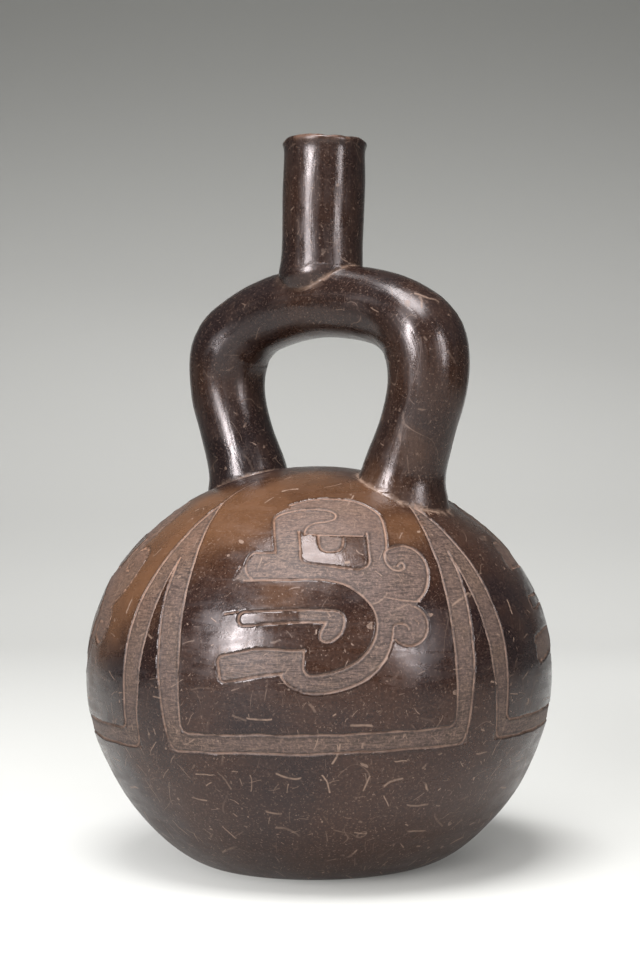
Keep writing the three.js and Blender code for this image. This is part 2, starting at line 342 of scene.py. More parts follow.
@dataclass(frozen=True)
class HeadDrawing:
    """The head in profile that each panel carries, looking left with its mouth open.

    In a path, M starts a stroke, L goes straight from point to point, C is one curve with its
    controls, and A runs along a named arc between two angles.
    """

    arcs: dict[str, tuple[Pair, Pair]] = field(default_factory=lambda: {
        "mouth": ((-0.5, 19.3), (19.1, 14.4)),
        "chin": ((1.5, 17.5), (21.6, 17.7)),
        "low_curl": ((28.4, 18.2), (6.0, 6.0)),
        "high_curl": ((27.6, 34.8), (8.8, 10.6)),
    })
    jaws: str = (
        "M -21.5 33.7, L -0.5 33.7, A mouth 90 -90, C -2.6 4.9 -3.0 7.5, L -2.6 12.3 -18 12.3 -27 10.7,"
        "C -29 10.4 -28.8 8.4, L -28.3 5.0, C -28.1 2.6 -26.2 3.1, L -9.7 5.6"
    )
    chin: str = "M -9.7 5.0, C -8.0 1.6 -4.0 0.7, A chin -104 0, C 23.2 18.9 25.4 18.8, C 27.6 18.7 28.0 17.2"
    low_curl: str = "A low_curl 225 425"
    high_curl: str = (
        "A high_curl -60 122, C 21.6 39.6 24.2 36.9, C 25.4 35.9 27.0 36.1,"
        "C 28.9 36.4 28.4 38.2, C 27.6 39.6 26.4 38.0"
    )
    crown: str = "M -7.4 66.4, C 3 72.8 17 69.5 22.3 60.0, C 24.0 54.0 23.1 44.0"
    brow: str = (
        "M -11.7 43.6, L -12.6 57.5, C -12.6 61.6 -5.0 63.3, C 2.0 64.8 8.4 62.4 7.4 59.2,"
        "C 6.8 57.0 2.1 56.7, C -2.4 55.8 -2.6 51.2"
    )
    snout: str = "M -11.7 43.6, L -17.6 44.0, C -19.6 43.8 -20.6 41.0, C -22.6 36.8 -18.6 33.9"
    eye: str = (
        "M -4.3 52.2, L -3.9 42.0, C -3.8 39.3 -1.2 39.0, L 12.0 37.1, C 17.4 36.7 17.5 41.0, L 17.1 51.4"
    )
    pupil: str = "M 1.8 50.7, C 1.2 42.6 5.8 43.7, C 9.8 43.8 9.4 49.6"
    tongue: str = (
        "M -21.2 19.3, C -23.2 19.6 -22.9 21.6, C -22.6 23.4 -20.6 23.6, L -8.0 24.0 6.0 23.4,"
        "C 9.6 23.0 9.0 19.6, C 8.2 15.2 4.0 14.3, C 1.2 14.4 2.5 17.4, L 3.8 19.8 -6.3 20.2 -21.2 19.3"
    )
    faint: tuple[tuple[str, float], ...] = (
        ("M -2.3 51.3, L 6.0 50.6 15.6 50.1", 0.62),
        ("M 21.3 27.6, C 26 26.0 32.2 25.3", 0.8),
        ("M -14.9 39.3, L -13.9 39.8", 0.62),
        ("M -23.0 38.7, L -25.0 33.9 -21.5 33.7", 0.45),
        ("M 30.6 19.6, L 31.3 18.8", 0.62),
        ("M -26.9 23.0, L -23.0 23.6", 0.62),
    )
    face_edge: str = (
        "M -24.6 33.9, L -21.2 39.5 -18.0 44.0 -11.7 43.6 -12.6 58.0, C -12.0 62.0 -7.4 64.4, L -7.4 66.4,"
        "C 3 72.8 17 69.5 22.3 60.0, C 24.0 54.0 23.1 44.0, A high_curl 122 -60, A low_curl 65 -135,"
        "A chin -12 -104, L -9.7 5.0 -26.2 3.1 -28.4 4.6 -28.8 9.6 -27 10.7 -18 12.3 -2.6 12.3 -3.0 7.5,"
        "L -1.8 5.2, A mouth -90 90, L -24.6 33.9"
    )
    eye_closing: str = ", L 15.6 50.1 -2.3 51.3 -4.3 52.2"
    pupil_closing: str = ", L 1.8 50.7"

    def draw(self, path: str) -> list[Pair]:
        """Closely spaced points along a path."""
        pen = Pen()
        for part in path.split(","):
            kind, *values = part.split()
            if kind == "A":
                pen.arc(*self.arcs[values[0]], float(values[1]), float(values[2]))
                continue
            numbers = [float(value) for value in values]
            places = list(zip(numbers[::2], numbers[1::2]))
            if kind == "M":
                pen.points += places
            elif kind == "C":
                pen.curve(*places)
            else:
                for place in places:
                    pen.line(*place)
        return pen.points

    def strokes(self, plainer: bool) -> list[tuple[list[Pair], float]]:
        """The head's lines with their weights, fewer where the panel is never looked at closely."""
        main = (self.jaws, self.chin, self.low_curl, self.high_curl, self.crown)
        main += (self.brow, self.snout, self.eye, self.pupil, self.tongue)
        paths = [(path, 1.0) for path in main] + ([] if plainer else list(self.faint))
        return [(self.draw(path), weight) for path, weight in paths]

    def scraped(self, flat: np.ndarray) -> np.ndarray:
        """Which points lie on the scraped head, on its pupil or on the hook of its tongue."""
        inside = within(flat, self.draw(self.face_edge))
        inside &= ~within(flat, self.draw(self.eye + self.eye_closing))
        inside |= within(flat, self.draw(self.pupil + self.pupil_closing))
        return inside | within(flat, self.draw(self.tongue)) & (flat[:, 0] > -4)


@dataclass
class PanelDrawing:
    """Frames and heads round the bowl: a post of two splayed bands between two panels."""

    bowl: BowlForm
    head: HeadDrawing = field(default_factory=HeadDrawing)
    posts: tuple[float, ...] = (-42.2, 40.7, 133.0, 226.0)
    post_half_widths: tuple[float, ...] = (9.0, 8.2, 8.4, 8.4)
    head_turns: tuple[float, ...] = (0.0, 0.0, 0.0, -2.0)
    post_top: float = 52.0
    post_foot: float = -5.0
    post_taper: float = 2.5
    line_top: float = 66.0
    gap_top: float = 32.0
    gap_half_width: float = 4.6
    band_low: float = -13.7
    band_high: float = -9.5
    corner: float = 2.2
    step: float = 0.3
    front_panel: int = 0

    def post_spread(self, post: int, elevation: np.ndarray) -> np.ndarray:
        """Degrees from a post's middle to its outer line."""
        share = np.clip((elevation - self.post_foot) / (self.post_top - self.post_foot), 0, 1)
        return self.post_half_widths[post] * (1 - share ** self.post_taper)

    def gap_spread(self, elevation: np.ndarray) -> np.ndarray:
        """Degrees from a post's middle to the line round the gap between its bands."""
        share = (self.gap_top - elevation) / (self.gap_top - self.band_high)
        return self.gap_half_width * np.clip(share, 0, None)

    def sides(self, panel: int) -> Pair:
        """Azimuths of the posts left and right of a panel."""
        left = self.posts[panel]
        right = self.posts[(panel + 1) % len(self.posts)]
        return left, right if right > left else right + 360

    def middle(self, panel: int) -> float:
        """Azimuth of a panel's middle."""
        left, right = self.sides(panel)
        return (left + right) / 2 + self.head_turns[panel]

    def frame_line(self, panel: int, outer: bool) -> np.ndarray:
        """The U shaped line of one panel as azimuths and elevations."""
        left, right = self.sides(panel)
        top = self.gap_top if outer else self.post_top
        low = self.band_low if outer else self.band_high

        def spread(post: int, levels: np.ndarray) -> np.ndarray:
            """The line's distance from a post."""
            return self.gap_spread(levels) if outer else self.post_spread(post, levels)

        scale = math.degrees(1 / self.bowl.radius)
        levels = np.arange(top, low + self.corner, -self.step * scale)
        rounding = np.linspace(0, math.pi / 2, 9)
        posts = (panel, (panel + 1) % len(self.posts))
        edges = []
        for post in posts:
            reach = float(spread(post, np.array([low]))[0])
            turn_az = reach + self.corner * (1 - np.cos(rounding))
            turn_el = low + self.corner * (1 - np.sin(rounding))
            edges.append((np.concatenate([spread(post, levels), turn_az]), np.concatenate([levels, turn_el])))
        inner = (left + edges[0][0][-1], right - edges[1][0][-1])
        foot = np.arange(inner[0], inner[1], self.step * scale)
        return np.concatenate([
            np.stack([left + edges[0][0], edges[0][1]], axis=1),
            np.stack([foot, np.full(len(foot), low)], axis=1),
            np.stack([right - edges[1][0], edges[1][1]], axis=1)[::-1],
        ])

    def on_bowl(self, panel: int, drawing: list[Pair]) -> np.ndarray:
        """Turns drawing millimetres of a panel into azimuths and elevations."""
        flat = np.array(drawing)
        elevation = np.degrees(flat[:, 1] / self.bowl.radius)
        azimuth = np.degrees(flat[:, 0] / self.bowl.radius) / np.cos(np.radians(elevation))
        return np.stack([self.middle(panel) + azimuth, elevation], axis=1)

    def lines(self) -> list[tuple[np.ndarray, float]]:
        """Every incised line as angles, with its weight."""
        made: list[tuple[np.ndarray, float]] = []
        for panel, post in enumerate(self.posts):
            made.append((self.frame_line(panel, True), 1.0))
            made.append((self.frame_line(panel, False), 1.0))
            run = np.arange(self.post_top, self.line_top, self.step)
            made.append((np.stack([np.full(len(run), post), run], axis=1), 0.8))
            for points, weight in self.head.strokes(panel != self.front_panel):
                made.append((self.on_bowl(panel, points), weight))
        return made

    def scraped(self, azimuth: np.ndarray, elevation: np.ndarray) -> np.ndarray:
        """1 where the surface is scraped matt, 0 where it is burnished."""
        mask = np.zeros(len(azimuth))
        for post, middle in enumerate(self.posts):
            away = np.abs((azimuth - middle + 180) % 360 - 180)
            band = (away < self.post_spread(post, elevation)) & (away > self.gap_spread(elevation))
            mask[band & (elevation > self.band_high) & (elevation < self.post_top)] = 1
        for panel in range(len(self.posts)):
            left, right = self.sides(panel)
            half = (right - left) / 2
            away = np.abs((azimuth - (left + right) / 2 + 180) % 360 - 180)
            level = (elevation > self.band_low) & (elevation <= self.band_high)
            mask[level & (away < half - self.gap_half_width)] = 1
            local = (azimuth - self.middle(panel) + 180) % 360 - 180
            flat = np.stack([
                np.radians(local) * np.cos(np.radians(elevation)) * self.bowl.radius,
                np.radians(elevation) * self.bowl.radius,
            ], axis=1)
            near = (np.abs(flat[:, 0]) < half) & (flat[:, 1] > -2) & (flat[:, 1] < 74)
            inside = np.zeros(len(azimuth), bool)
            inside[near] = self.head.scraped(flat[near])
            mask[inside] = 1
        return mask


def within(points: np.ndarray, outline: list[Pair]) -> np.ndarray:
    """Whether each point lies inside a closed outline, by counting crossings."""
    inside = np.zeros(len(points), bool)
    x, y = points[:, 0], points[:, 1]
    for (x0, y0), (x1, y1) in zip(outline, [*outline[1:], outline[0]]):
        if y0 == y1:
            continue
        crosses = (y0 > y) != (y1 > y)
        inside ^= crosses & (x < (x1 - x0) * (y - y0) / (y1 - y0) + x0)
    return inside


def only(piece: Piece) -> None:
    """Deselects everything, then selects one object and makes it active."""
    bpy.ops.object.select_all(action="DESELECT")
    piece.select_set(True)
    bpy.context.view_layer.objects.active = piece


@contextmanager
def editing(piece: Piece, kind: str = "VERT") -> Iterator[None]:
    """Edit mode on one piece alone, in one select mode."""
    only(piece)
    bpy.ops.object.mode_set(mode="EDIT")
    bpy.ops.mesh.select_mode(type=kind)
    yield
    bpy.ops.object.mode_set(mode="OBJECT")


def draw_path(name: str, start: Vector, moves: Iterable[Vector]) -> Piece:
    """Makes an open line of vertices: one vertex, extruded along each move in turn.

    Args:
        name: Name of the new object.
        start: Place of the first vertex in metres.
        moves: Steps from vertex to vertex in metres.

    Returns:
        The new object, active.
    """
    bpy.ops.object.select_all(action="DESELECT")
    bpy.ops.mesh.primitive_plane_add(size=MM, location=(0, 0, 0))
    piece = bpy.context.object
    piece.name = name
    with editing(piece):
        bpy.ops.mesh.select_all(action="SELECT")
        bpy.ops.mesh.merge(type="CENTER")
        bpy.ops.transform.translate(value=start)
        for move in moves:
            bpy.ops.mesh.extrude_vertices_move(TRANSFORM_OT_translate={"value": move})
    return piece


def weld(piece: Piece, gap: float) -> None:
    """Joins vertices closer than a gap in millimetres and turns every face outwards."""
    with editing(piece):
        bpy.ops.mesh.select_all(action="SELECT")
        bpy.ops.mesh.remove_doubles(threshold=gap * MM)
        bpy.ops.mesh.normals_make_consistent(inside=False)


def turned(name: str, profile: list[Pair], sides: int) -> Piece:
    """Spins a profile about the Z axis into a closed body.

    Args:
        name: Name of the new object.
        profile: Radius and height pairs in millimetres, from axis to axis.
        sides: Steps round the axis.

    Returns:
        The new object, in metres.
    """
    moves = [Vector((b[0] - a[0], 0, b[1] - a[1])) * MM for a, b in zip(profile, profile[1:])]
    piece = draw_path(name, Vector((profile[0][0], 0, profile[0][1])) * MM, moves)
    with editing(piece):
        bpy.ops.mesh.select_all(action="SELECT")
        bpy.ops.mesh.spin(steps=sides, angle=math.tau, center=(0, 0, 0), axis=(0, 0, 1))
    weld(piece, 0.02)
    return piece


def bent_tube(name: str, rows: Rows, inset: float, ring: int) -> Piece:
    """A capped round tube of changing radius along points.

    Args:
        name: Name of the new object.
        rows: Middle line points and radii in millimetres.
        inset: Taken off each radius.
        ring: Quarter of the number of sides.

    Returns:
        The new object, a mesh.
    """
    bpy.ops.object.select_all(action="DESELECT")
    bpy.ops.curve.primitive_nurbs_path_add()
    piece = bpy.context.object
    piece.name = name
    data = piece.data
    data.splines.clear()
    spline = data.splines.new("POLY")
    spline.points.add(len(rows) - 1)
    for target, (place, radius) in zip(spline.points, rows):
        target.co = (*(place * MM), 1)
        target.radius = radius - inset
    data.bevel_depth = MM
    data.bevel_resolution = ring
    data.use_fill_caps = True
    data.twist_mode = "MINIMUM"
    only(piece)
    bpy.ops.object.convert(target="MESH")
    piece = bpy.context.object
    weld(piece, 0.01)
    return piece


def place_mesh(piece: Piece, matrix: Matrix) -> None:
    """Moves a piece by a matrix given in millimetres, and applies the place to its mesh."""
    scaled = matrix.copy()
    scaled.translation = matrix.translation * MM
    only(piece)
    piece.matrix_world = scaled @ piece.matrix_world
    bpy.ops.object.transform_apply(location=True, rotation=True, scale=True)


def settle(piece: Piece) -> None:
    """Puts faces in one fixed order, because the solver works in threads and leaves any order."""
    data = piece.data
    rings = []
    for face in data.polygons:
        ring = face.vertices[:]
        start = ring.index(min(ring))
        rings.append(ring[start:] + ring[:start])
    places = [vertex.co[:] for vertex in data.vertices]
    data.clear_geometry()
    data.from_pydata(places, [], sorted(rings))


def combine(piece: Piece, other: Piece, operation: str) -> None:
    """Joins (UNION) or cuts (DIFFERENCE) a piece with another, and deletes the other."""
    only(piece)
    change = piece.modifiers.new(operation.lower(), "BOOLEAN")
    change.operation = operation
    change.solver = "MANIFOLD"
    change.object = other
    bpy.ops.object.modifier_apply(modifier=change.name)
    bpy.data.objects.remove(other, do_unlink=True)
    settle(piece)


def vertex_array(piece: Piece) -> np.ndarray:
    """The vertices of a mesh in millimetres."""
    flat = np.empty(len(piece.data.vertices) * 3)
    piece.data.vertices.foreach_get("co", flat)
    return flat.reshape(-1, 3) / MM


def set_vertices(piece: Piece, points: np.ndarray) -> None:
    """Puts millimetre positions back into a mesh."""
    piece.data.vertices.foreach_set("co", (points * MM).ravel())
    piece.data.update()


def store(piece: Piece, name: str, values: np.ndarray) -> None:
    """Keeps one number for each vertex as a named attribute."""
    attribute = piece.data.attributes.new(name, "FLOAT", "POINT")
    attribute.data.foreach_set("value", values.astype(np.float32))


def choose(piece: Piece, near: np.ndarray) -> None:
    """Selects just the vertices of a mask, from object mode."""
    data = piece.data
    data.polygons.foreach_set("select", np.zeros(len(data.polygons), bool))
    data.edges.foreach_set("select", np.zeros(len(data.edges), bool))
    data.vertices.foreach_set("select", near)


def split_faces(piece: Piece, near: np.ndarray) -> None:
    """Splits every face that has a vertex of a mask into four."""
    choose(piece, near)
    faces = piece.data.polygons
    faces.foreach_set("select", np.array([any(near[corner] for corner in face.vertices) for face in faces]))
    with editing(piece, "FACE"):
        bpy.ops.mesh.subdivide(number_cuts=1, ngon=True, quadcorner="INNERVERT")


def search_tree(points: Iterable) -> kdtree.KDTree:
    """A tree that finds the nearest of some points."""
    tree = kdtree.KDTree(len(points))
    for index, point in enumerate(points):
        tree.insert(point, index)
    tree.balance()
    return tree


def nearest_gap(points: np.ndarray, targets: np.ndarray, limit: float) -> np.ndarray:
    """Distance from each point to the nearest target, cut off at a limit."""
    tree = search_tree(targets)
    low, high = targets.min(axis=0) - limit, targets.max(axis=0) + limit
    gaps = np.full(len(points), limit)
    for index in np.nonzero(np.all((points > low) & (points < high), axis=1))[0]:
        gaps[index] = min(tree.find(points[index])[2], limit)
    return gaps


class Signal:
    """A node's output that is added, subtracted and multiplied like a number."""

    def __init__(self, graph: Graph, socket: Socket) -> None:
        """Takes the graph that grows and the output to read."""
        self.graph, self.socket = graph, socket

    def __add__(self, other: object) -> Signal:
        """The sum."""
        return self.graph.math("ADD", self, other)

    def __sub__(self, other: object) -> Signal:
        """The difference."""
        return self.graph.math("SUBTRACT", self, other)

    def __rsub__(self, other: object) -> Signal:
        """A number less this."""
        return self.graph.math("SUBTRACT", other, self)

    def __mul__(self, other: object) -> Signal:
        """The product."""
        return self.graph.math("MULTIPLY", self, other)


class Graph:
    """Adds nodes to one tree and links them as they are made."""

    def __init__(self, tree: Tree) -> None:
        """Takes the tree that the nodes go into."""
        self.tree = tree

    def fill(self, sockets: object, values: dict) -> None:
        """Links outputs to sockets, or sets plain values on them, by name or number."""
        for key, value in values.items():
            value = value.socket if isinstance(value, Signal) else value
            if isinstance(value, Socket):
                self.tree.links.new(value, sockets[key])
            else:
                sockets[key].default_value = value

    def node(self, kind: str, values: dict | None = None, **settings: object) -> bpy.types.Node:
        """Puts in a node with its settings, and fills its inputs."""
        made = self.tree.nodes.new(f"ShaderNode{kind}")
        for name, setting in settings.items():
            setattr(made, name, setting)
        self.fill(made.inputs, values or {})
        return made

    def signals(self, sockets: Iterable[Socket]) -> list[Signal]:
        """Wraps outputs for further sums."""
        return [Signal(self, socket) for socket in sockets]

    def math(self, operation: str, *values: object) -> Signal:
        """Puts out a Math node's result."""
        return Signal(self, self.node("Math", dict(enumerate(values)), operation=operation).outputs[0])

    def most(self, *values: object) -> Signal:
        """Puts out the greatest of some values."""
        return reduce(lambda first, second: self.math("MAXIMUM", first, second), values)

    def span(self, value: object, low: object, high: object, start: float = 0.0, end: float = 1.0) -> Signal:
        """Puts out a smooth step of a value between two bounds."""
        names = ("Value", "From Min", "From Max", "To Min", "To Max")
        values = dict(zip(names, (value, low, high, start, end)))
        return Signal(self, self.node("MapRange", values, interpolation_type="SMOOTHSTEP").outputs["Result"])

    def blend(self, share: object, first: object, second: object) -> Signal:
        """Puts out a mix of two colours, each an output or a screen colour."""
        first, second = [srgb(*colour) if isinstance(colour, tuple) else colour for colour in (first, second)]
        node = self.node("Mix", {"Factor": share, 6: first, 7: second}, data_type="RGBA")
        return Signal(self, node.outputs[2])

    def stretch(self, vector: object, scale: tuple, turn: tuple = (0, 0, 0)) -> Signal:
        """Puts out coordinates turned (in degrees) and scaled."""
        angles = [math.radians(angle) for angle in turn]
        node = self.node("Mapping", {"Vector": vector, "Rotation": angles, "Scale": scale})
        return Signal(self, node.outputs[0])

    def noise(
        self, vector: object, scale: float, detail: float = 2.0, rough: float = 0.5, warp: float = 0.0
    ) -> Signal:
        """Puts out a noise value."""
        values = {"Vector": vector, "Scale": scale, "Detail": detail, "Roughness": rough, "Distortion": warp}
        return Signal(self, self.node("TexNoise", values).outputs["Fac"])

    def shake(self, vector: object, scale: float, detail: float, reach: float) -> Signal:
        """Puts out coordinates bent by a noise."""
        node = self.node("TexNoise", {"Vector": vector, "Scale": scale, "Detail": detail})
        bend = self.vector("SUBTRACT", node.outputs["Color"], (0.5, 0.5, 0.5))
        return self.vector("ADD", vector, self.vector("MULTIPLY", bend, (reach,) * 3))

    def vector(self, operation: str, *values: object) -> Signal:
        """Puts out a Vector Math node's vector or value."""
        node = self.node("VectorMath", dict(enumerate(values)), operation=operation)
        return Signal(self, node.outputs["Value" if operation in {"DOT_PRODUCT", "DISTANCE"} else "Vector"])

    def pack(self, first: object, second: object) -> Signal:
        """Puts out flat coordinates made of two values."""
        return Signal(self, self.node("CombineXYZ", {0: first, 1: second}).outputs[0])

    def parts(self, vector: object) -> list[Signal]:
        """Puts out the three parts of a vector."""
        return self.signals(self.node("SeparateXYZ", {0: vector}).outputs)

    def cells(self, vector: object, scale: float) -> tuple[bpy.types.Node, list[Signal]]:
        """Puts in a Voronoi node, and gives it with three chance numbers of each cell."""
        node = self.node("TexVoronoi", {"Vector": vector, "Scale": scale}, feature="F1")
        return node, self.signals(self.node("SeparateColor", {0: node.outputs["Color"]}).outputs)

    def attribute(self, name: str, port: str = "Fac") -> Signal:
        """Puts out a number or vector kept on the vertices."""
        return Signal(self, self.node("Attribute", attribute_name=name).outputs[port])

    def group(self, effect: Tree, **values: object) -> Signal:
        """Puts in a shared effect and gives its output."""
        return Signal(self, self.node("Group", values, node_tree=effect).outputs[0])


def new_effect(name: str, inputs: dict[str, str], output: str) -> tuple[Graph, list[Signal], Callable]:
    """Starts a shared effect that puts out one value.

    Args:
        name: The effect's name.
        inputs: Socket types of its inputs by name.
        output: Name of its output.

    Returns:
        A graph to fill the effect with, its inputs, and a call that takes its result.
    """
    tree = bpy.data.node_groups.new(name, "ShaderNodeTree")
    for label, kind in inputs.items():
        tree.interface.new_socket(label, in_out="INPUT", socket_type=f"NodeSocket{kind}")
    tree.interface.new_socket(output, in_out="OUTPUT", socket_type="NodeSocketFloat")
    graph = Graph(tree)
    given = graph.signals(tree.nodes.new("NodeGroupInput").outputs[:len(inputs)])
    end = tree.nodes.new("NodeGroupOutput")
    return graph, given, lambda result: graph.fill(end.inputs, {output: result})


def new_material(name: str) -> tuple[bpy.types.Material, Graph, Signal]:
    """Starts a material, and gives it with its graph and the piece's own coordinates."""
    material = bpy.data.materials.new(name)
    material.use_nodes = True
    graph = Graph(material.node_tree)
    return material, graph, Signal(graph, graph.node("TexCoord").outputs["Object"])


def srgb(red: int, green: int, blue: int) -> tuple[float, float, float, float]:
    """A screen colour as the linear colour that shaders use."""
    linear = [(c / 255 / 12.92) if c < 11 else ((c / 255 + 0.055) / 1.055) ** 2.4 for c in (red, green, blue)]
    return (*linear, 1.0)


@dataclass(frozen=True)
class RootMarks:
    """Pale hair-fine curved marks that roots left on the buried pot, in a fine and a broad layer."""

    cells: Pair = (0.0056, 0.0084)
    half_widths: Pair = (0.00009, 0.00016)
    shortest: float = 0.0003
    longest: Pair = (0.0019, 0.0036)
    bend: float = 0.0015
    curvature: float = 55.0

    def layer(self, graph: Graph, flat: Signal, layer: int, share: Signal) -> Signal:
        """One layer of marks on flat coordinates.

        Args:
            graph: Graph of the effect.
            flat: Coordinates on the plane that the surface faces.
            layer: Which of the two layers.
            share: Share of the cells that hold a mark.

        Returns:
            A mask of the marks.
        """
        flat = graph.vector("ADD", flat, (0.013 + 0.21 * layer, 0.009 + 0.147 * layer, 0))
        cells, (turn, size, other) = graph.cells(flat, 1 / self.cells[layer])
        offset = graph.vector("SUBTRACT", flat, cells.outputs["Position"])
        angle = turn * math.tau
        cosine, sine = graph.math("COSINE", angle), graph.math("SINE", angle)
        run = graph.vector("DOT_PRODUCT", offset, graph.pack(cosine, sine))
        side = graph.vector("DOT_PRODUCT", offset, graph.pack(sine * -1.0, cosine))
        curved = side + run * run * graph.span(other, 0, 1, -self.curvature, self.curvature)
        reach = graph.span(size, 0, 1, self.shortest, self.longest[layer])
        beyond = graph.most(graph.math("ABSOLUTE", run) - reach, 0.0)
        away = graph.math("SQRT", curved * curved + beyond * beyond)
        width = graph.span(graph.math("FRACT", size * 5.3), 0, 1, 0.6, 2.2) * self.half_widths[layer]
        mark = graph.span(away, width * 0.3, width * 1.5, 1, 0)
        held = graph.math("LESS_THAN", graph.math("FRACT", other * 17.3), share)
        return mark * held * graph.span(graph.math("FRACT", turn * 9.7), 0, 1, 0.2, 1.25)

    def build(self) -> Tree:
        """The effect, with inputs Position, Normal and Share and the output Marks.

        The marks lie on the plane that the surface faces most.
        """
        inputs = {"Position": "Vector", "Normal": "Vector", "Share": "Float"}
        graph, (position, normal, share), finish = new_effect("root_marks", inputs, "Marks")
        x, y, z = graph.parts(graph.shake(position, 190.0, 1.0, self.bend))
        across, deep, up = graph.parts(graph.vector("ABSOLUTE", normal))
        sideways = graph.math("GREATER_THAN", across, graph.most(deep, up))
        upwards = graph.math("GREATER_THAN", up, graph.most(across, deep))
        flat = graph.pack(
            graph.math("MULTIPLY_ADD", y - x, sideways, x), graph.math("MULTIPLY_ADD", y - z, upwards, z)
        )
        finish(graph.most(*[self.layer(graph, flat, number, share) for number in range(2)]))
        return graph.tree


@dataclass(frozen=True)
class Flecks:
    """Small pale pits and specks in the burnished skin, in two sizes."""

    spacings: Pair = (0.0030, 0.0063)
    warps: Pair = (0.5, 0.8)
    widest: float = 0.17

    def build(self) -> Tree:
        """The effect, with inputs Position and Share and the output Specks."""
        graph, (position, share), finish = new_effect(
            "flecks", {"Position": "Vector", "Share": "Float"}, "Specks"
        )
        spots: list[object] = [0.0]
        for size, warp in zip(self.spacings, self.warps):
            bent = graph.shake(position, 1.7 / size, 2.0, size * warp)
            cells, (kept, wide, _) = graph.cells(bent, 1 / size)
            spot = graph.math("LESS_THAN", cells.outputs["Distance"], wide * self.widest)
            spots.append(spot * graph.math("LESS_THAN", kept, share))
        finish(graph.most(*spots))
        return graph.tree


@dataclass(frozen=True)
class Cloud:
    """One place where the fire left the clay a warmer colour."""

    azimuth: float
    elevation: float
    reach: float
    strength: float
    lift: float = 0.0

    def place(self, bowl: BowlForm) -> tuple[float, float, float]:
        """The cloud's middle on or above the leaning bowl, in metres."""
        surface = bowl.point(np.array([self.azimuth]), np.array([self.elevation]))
        upright = (surface + bowl.normal(surface) * self.lift)[0]
        return tuple(bowl.lean_matrix @ Vector(upright) * MM)


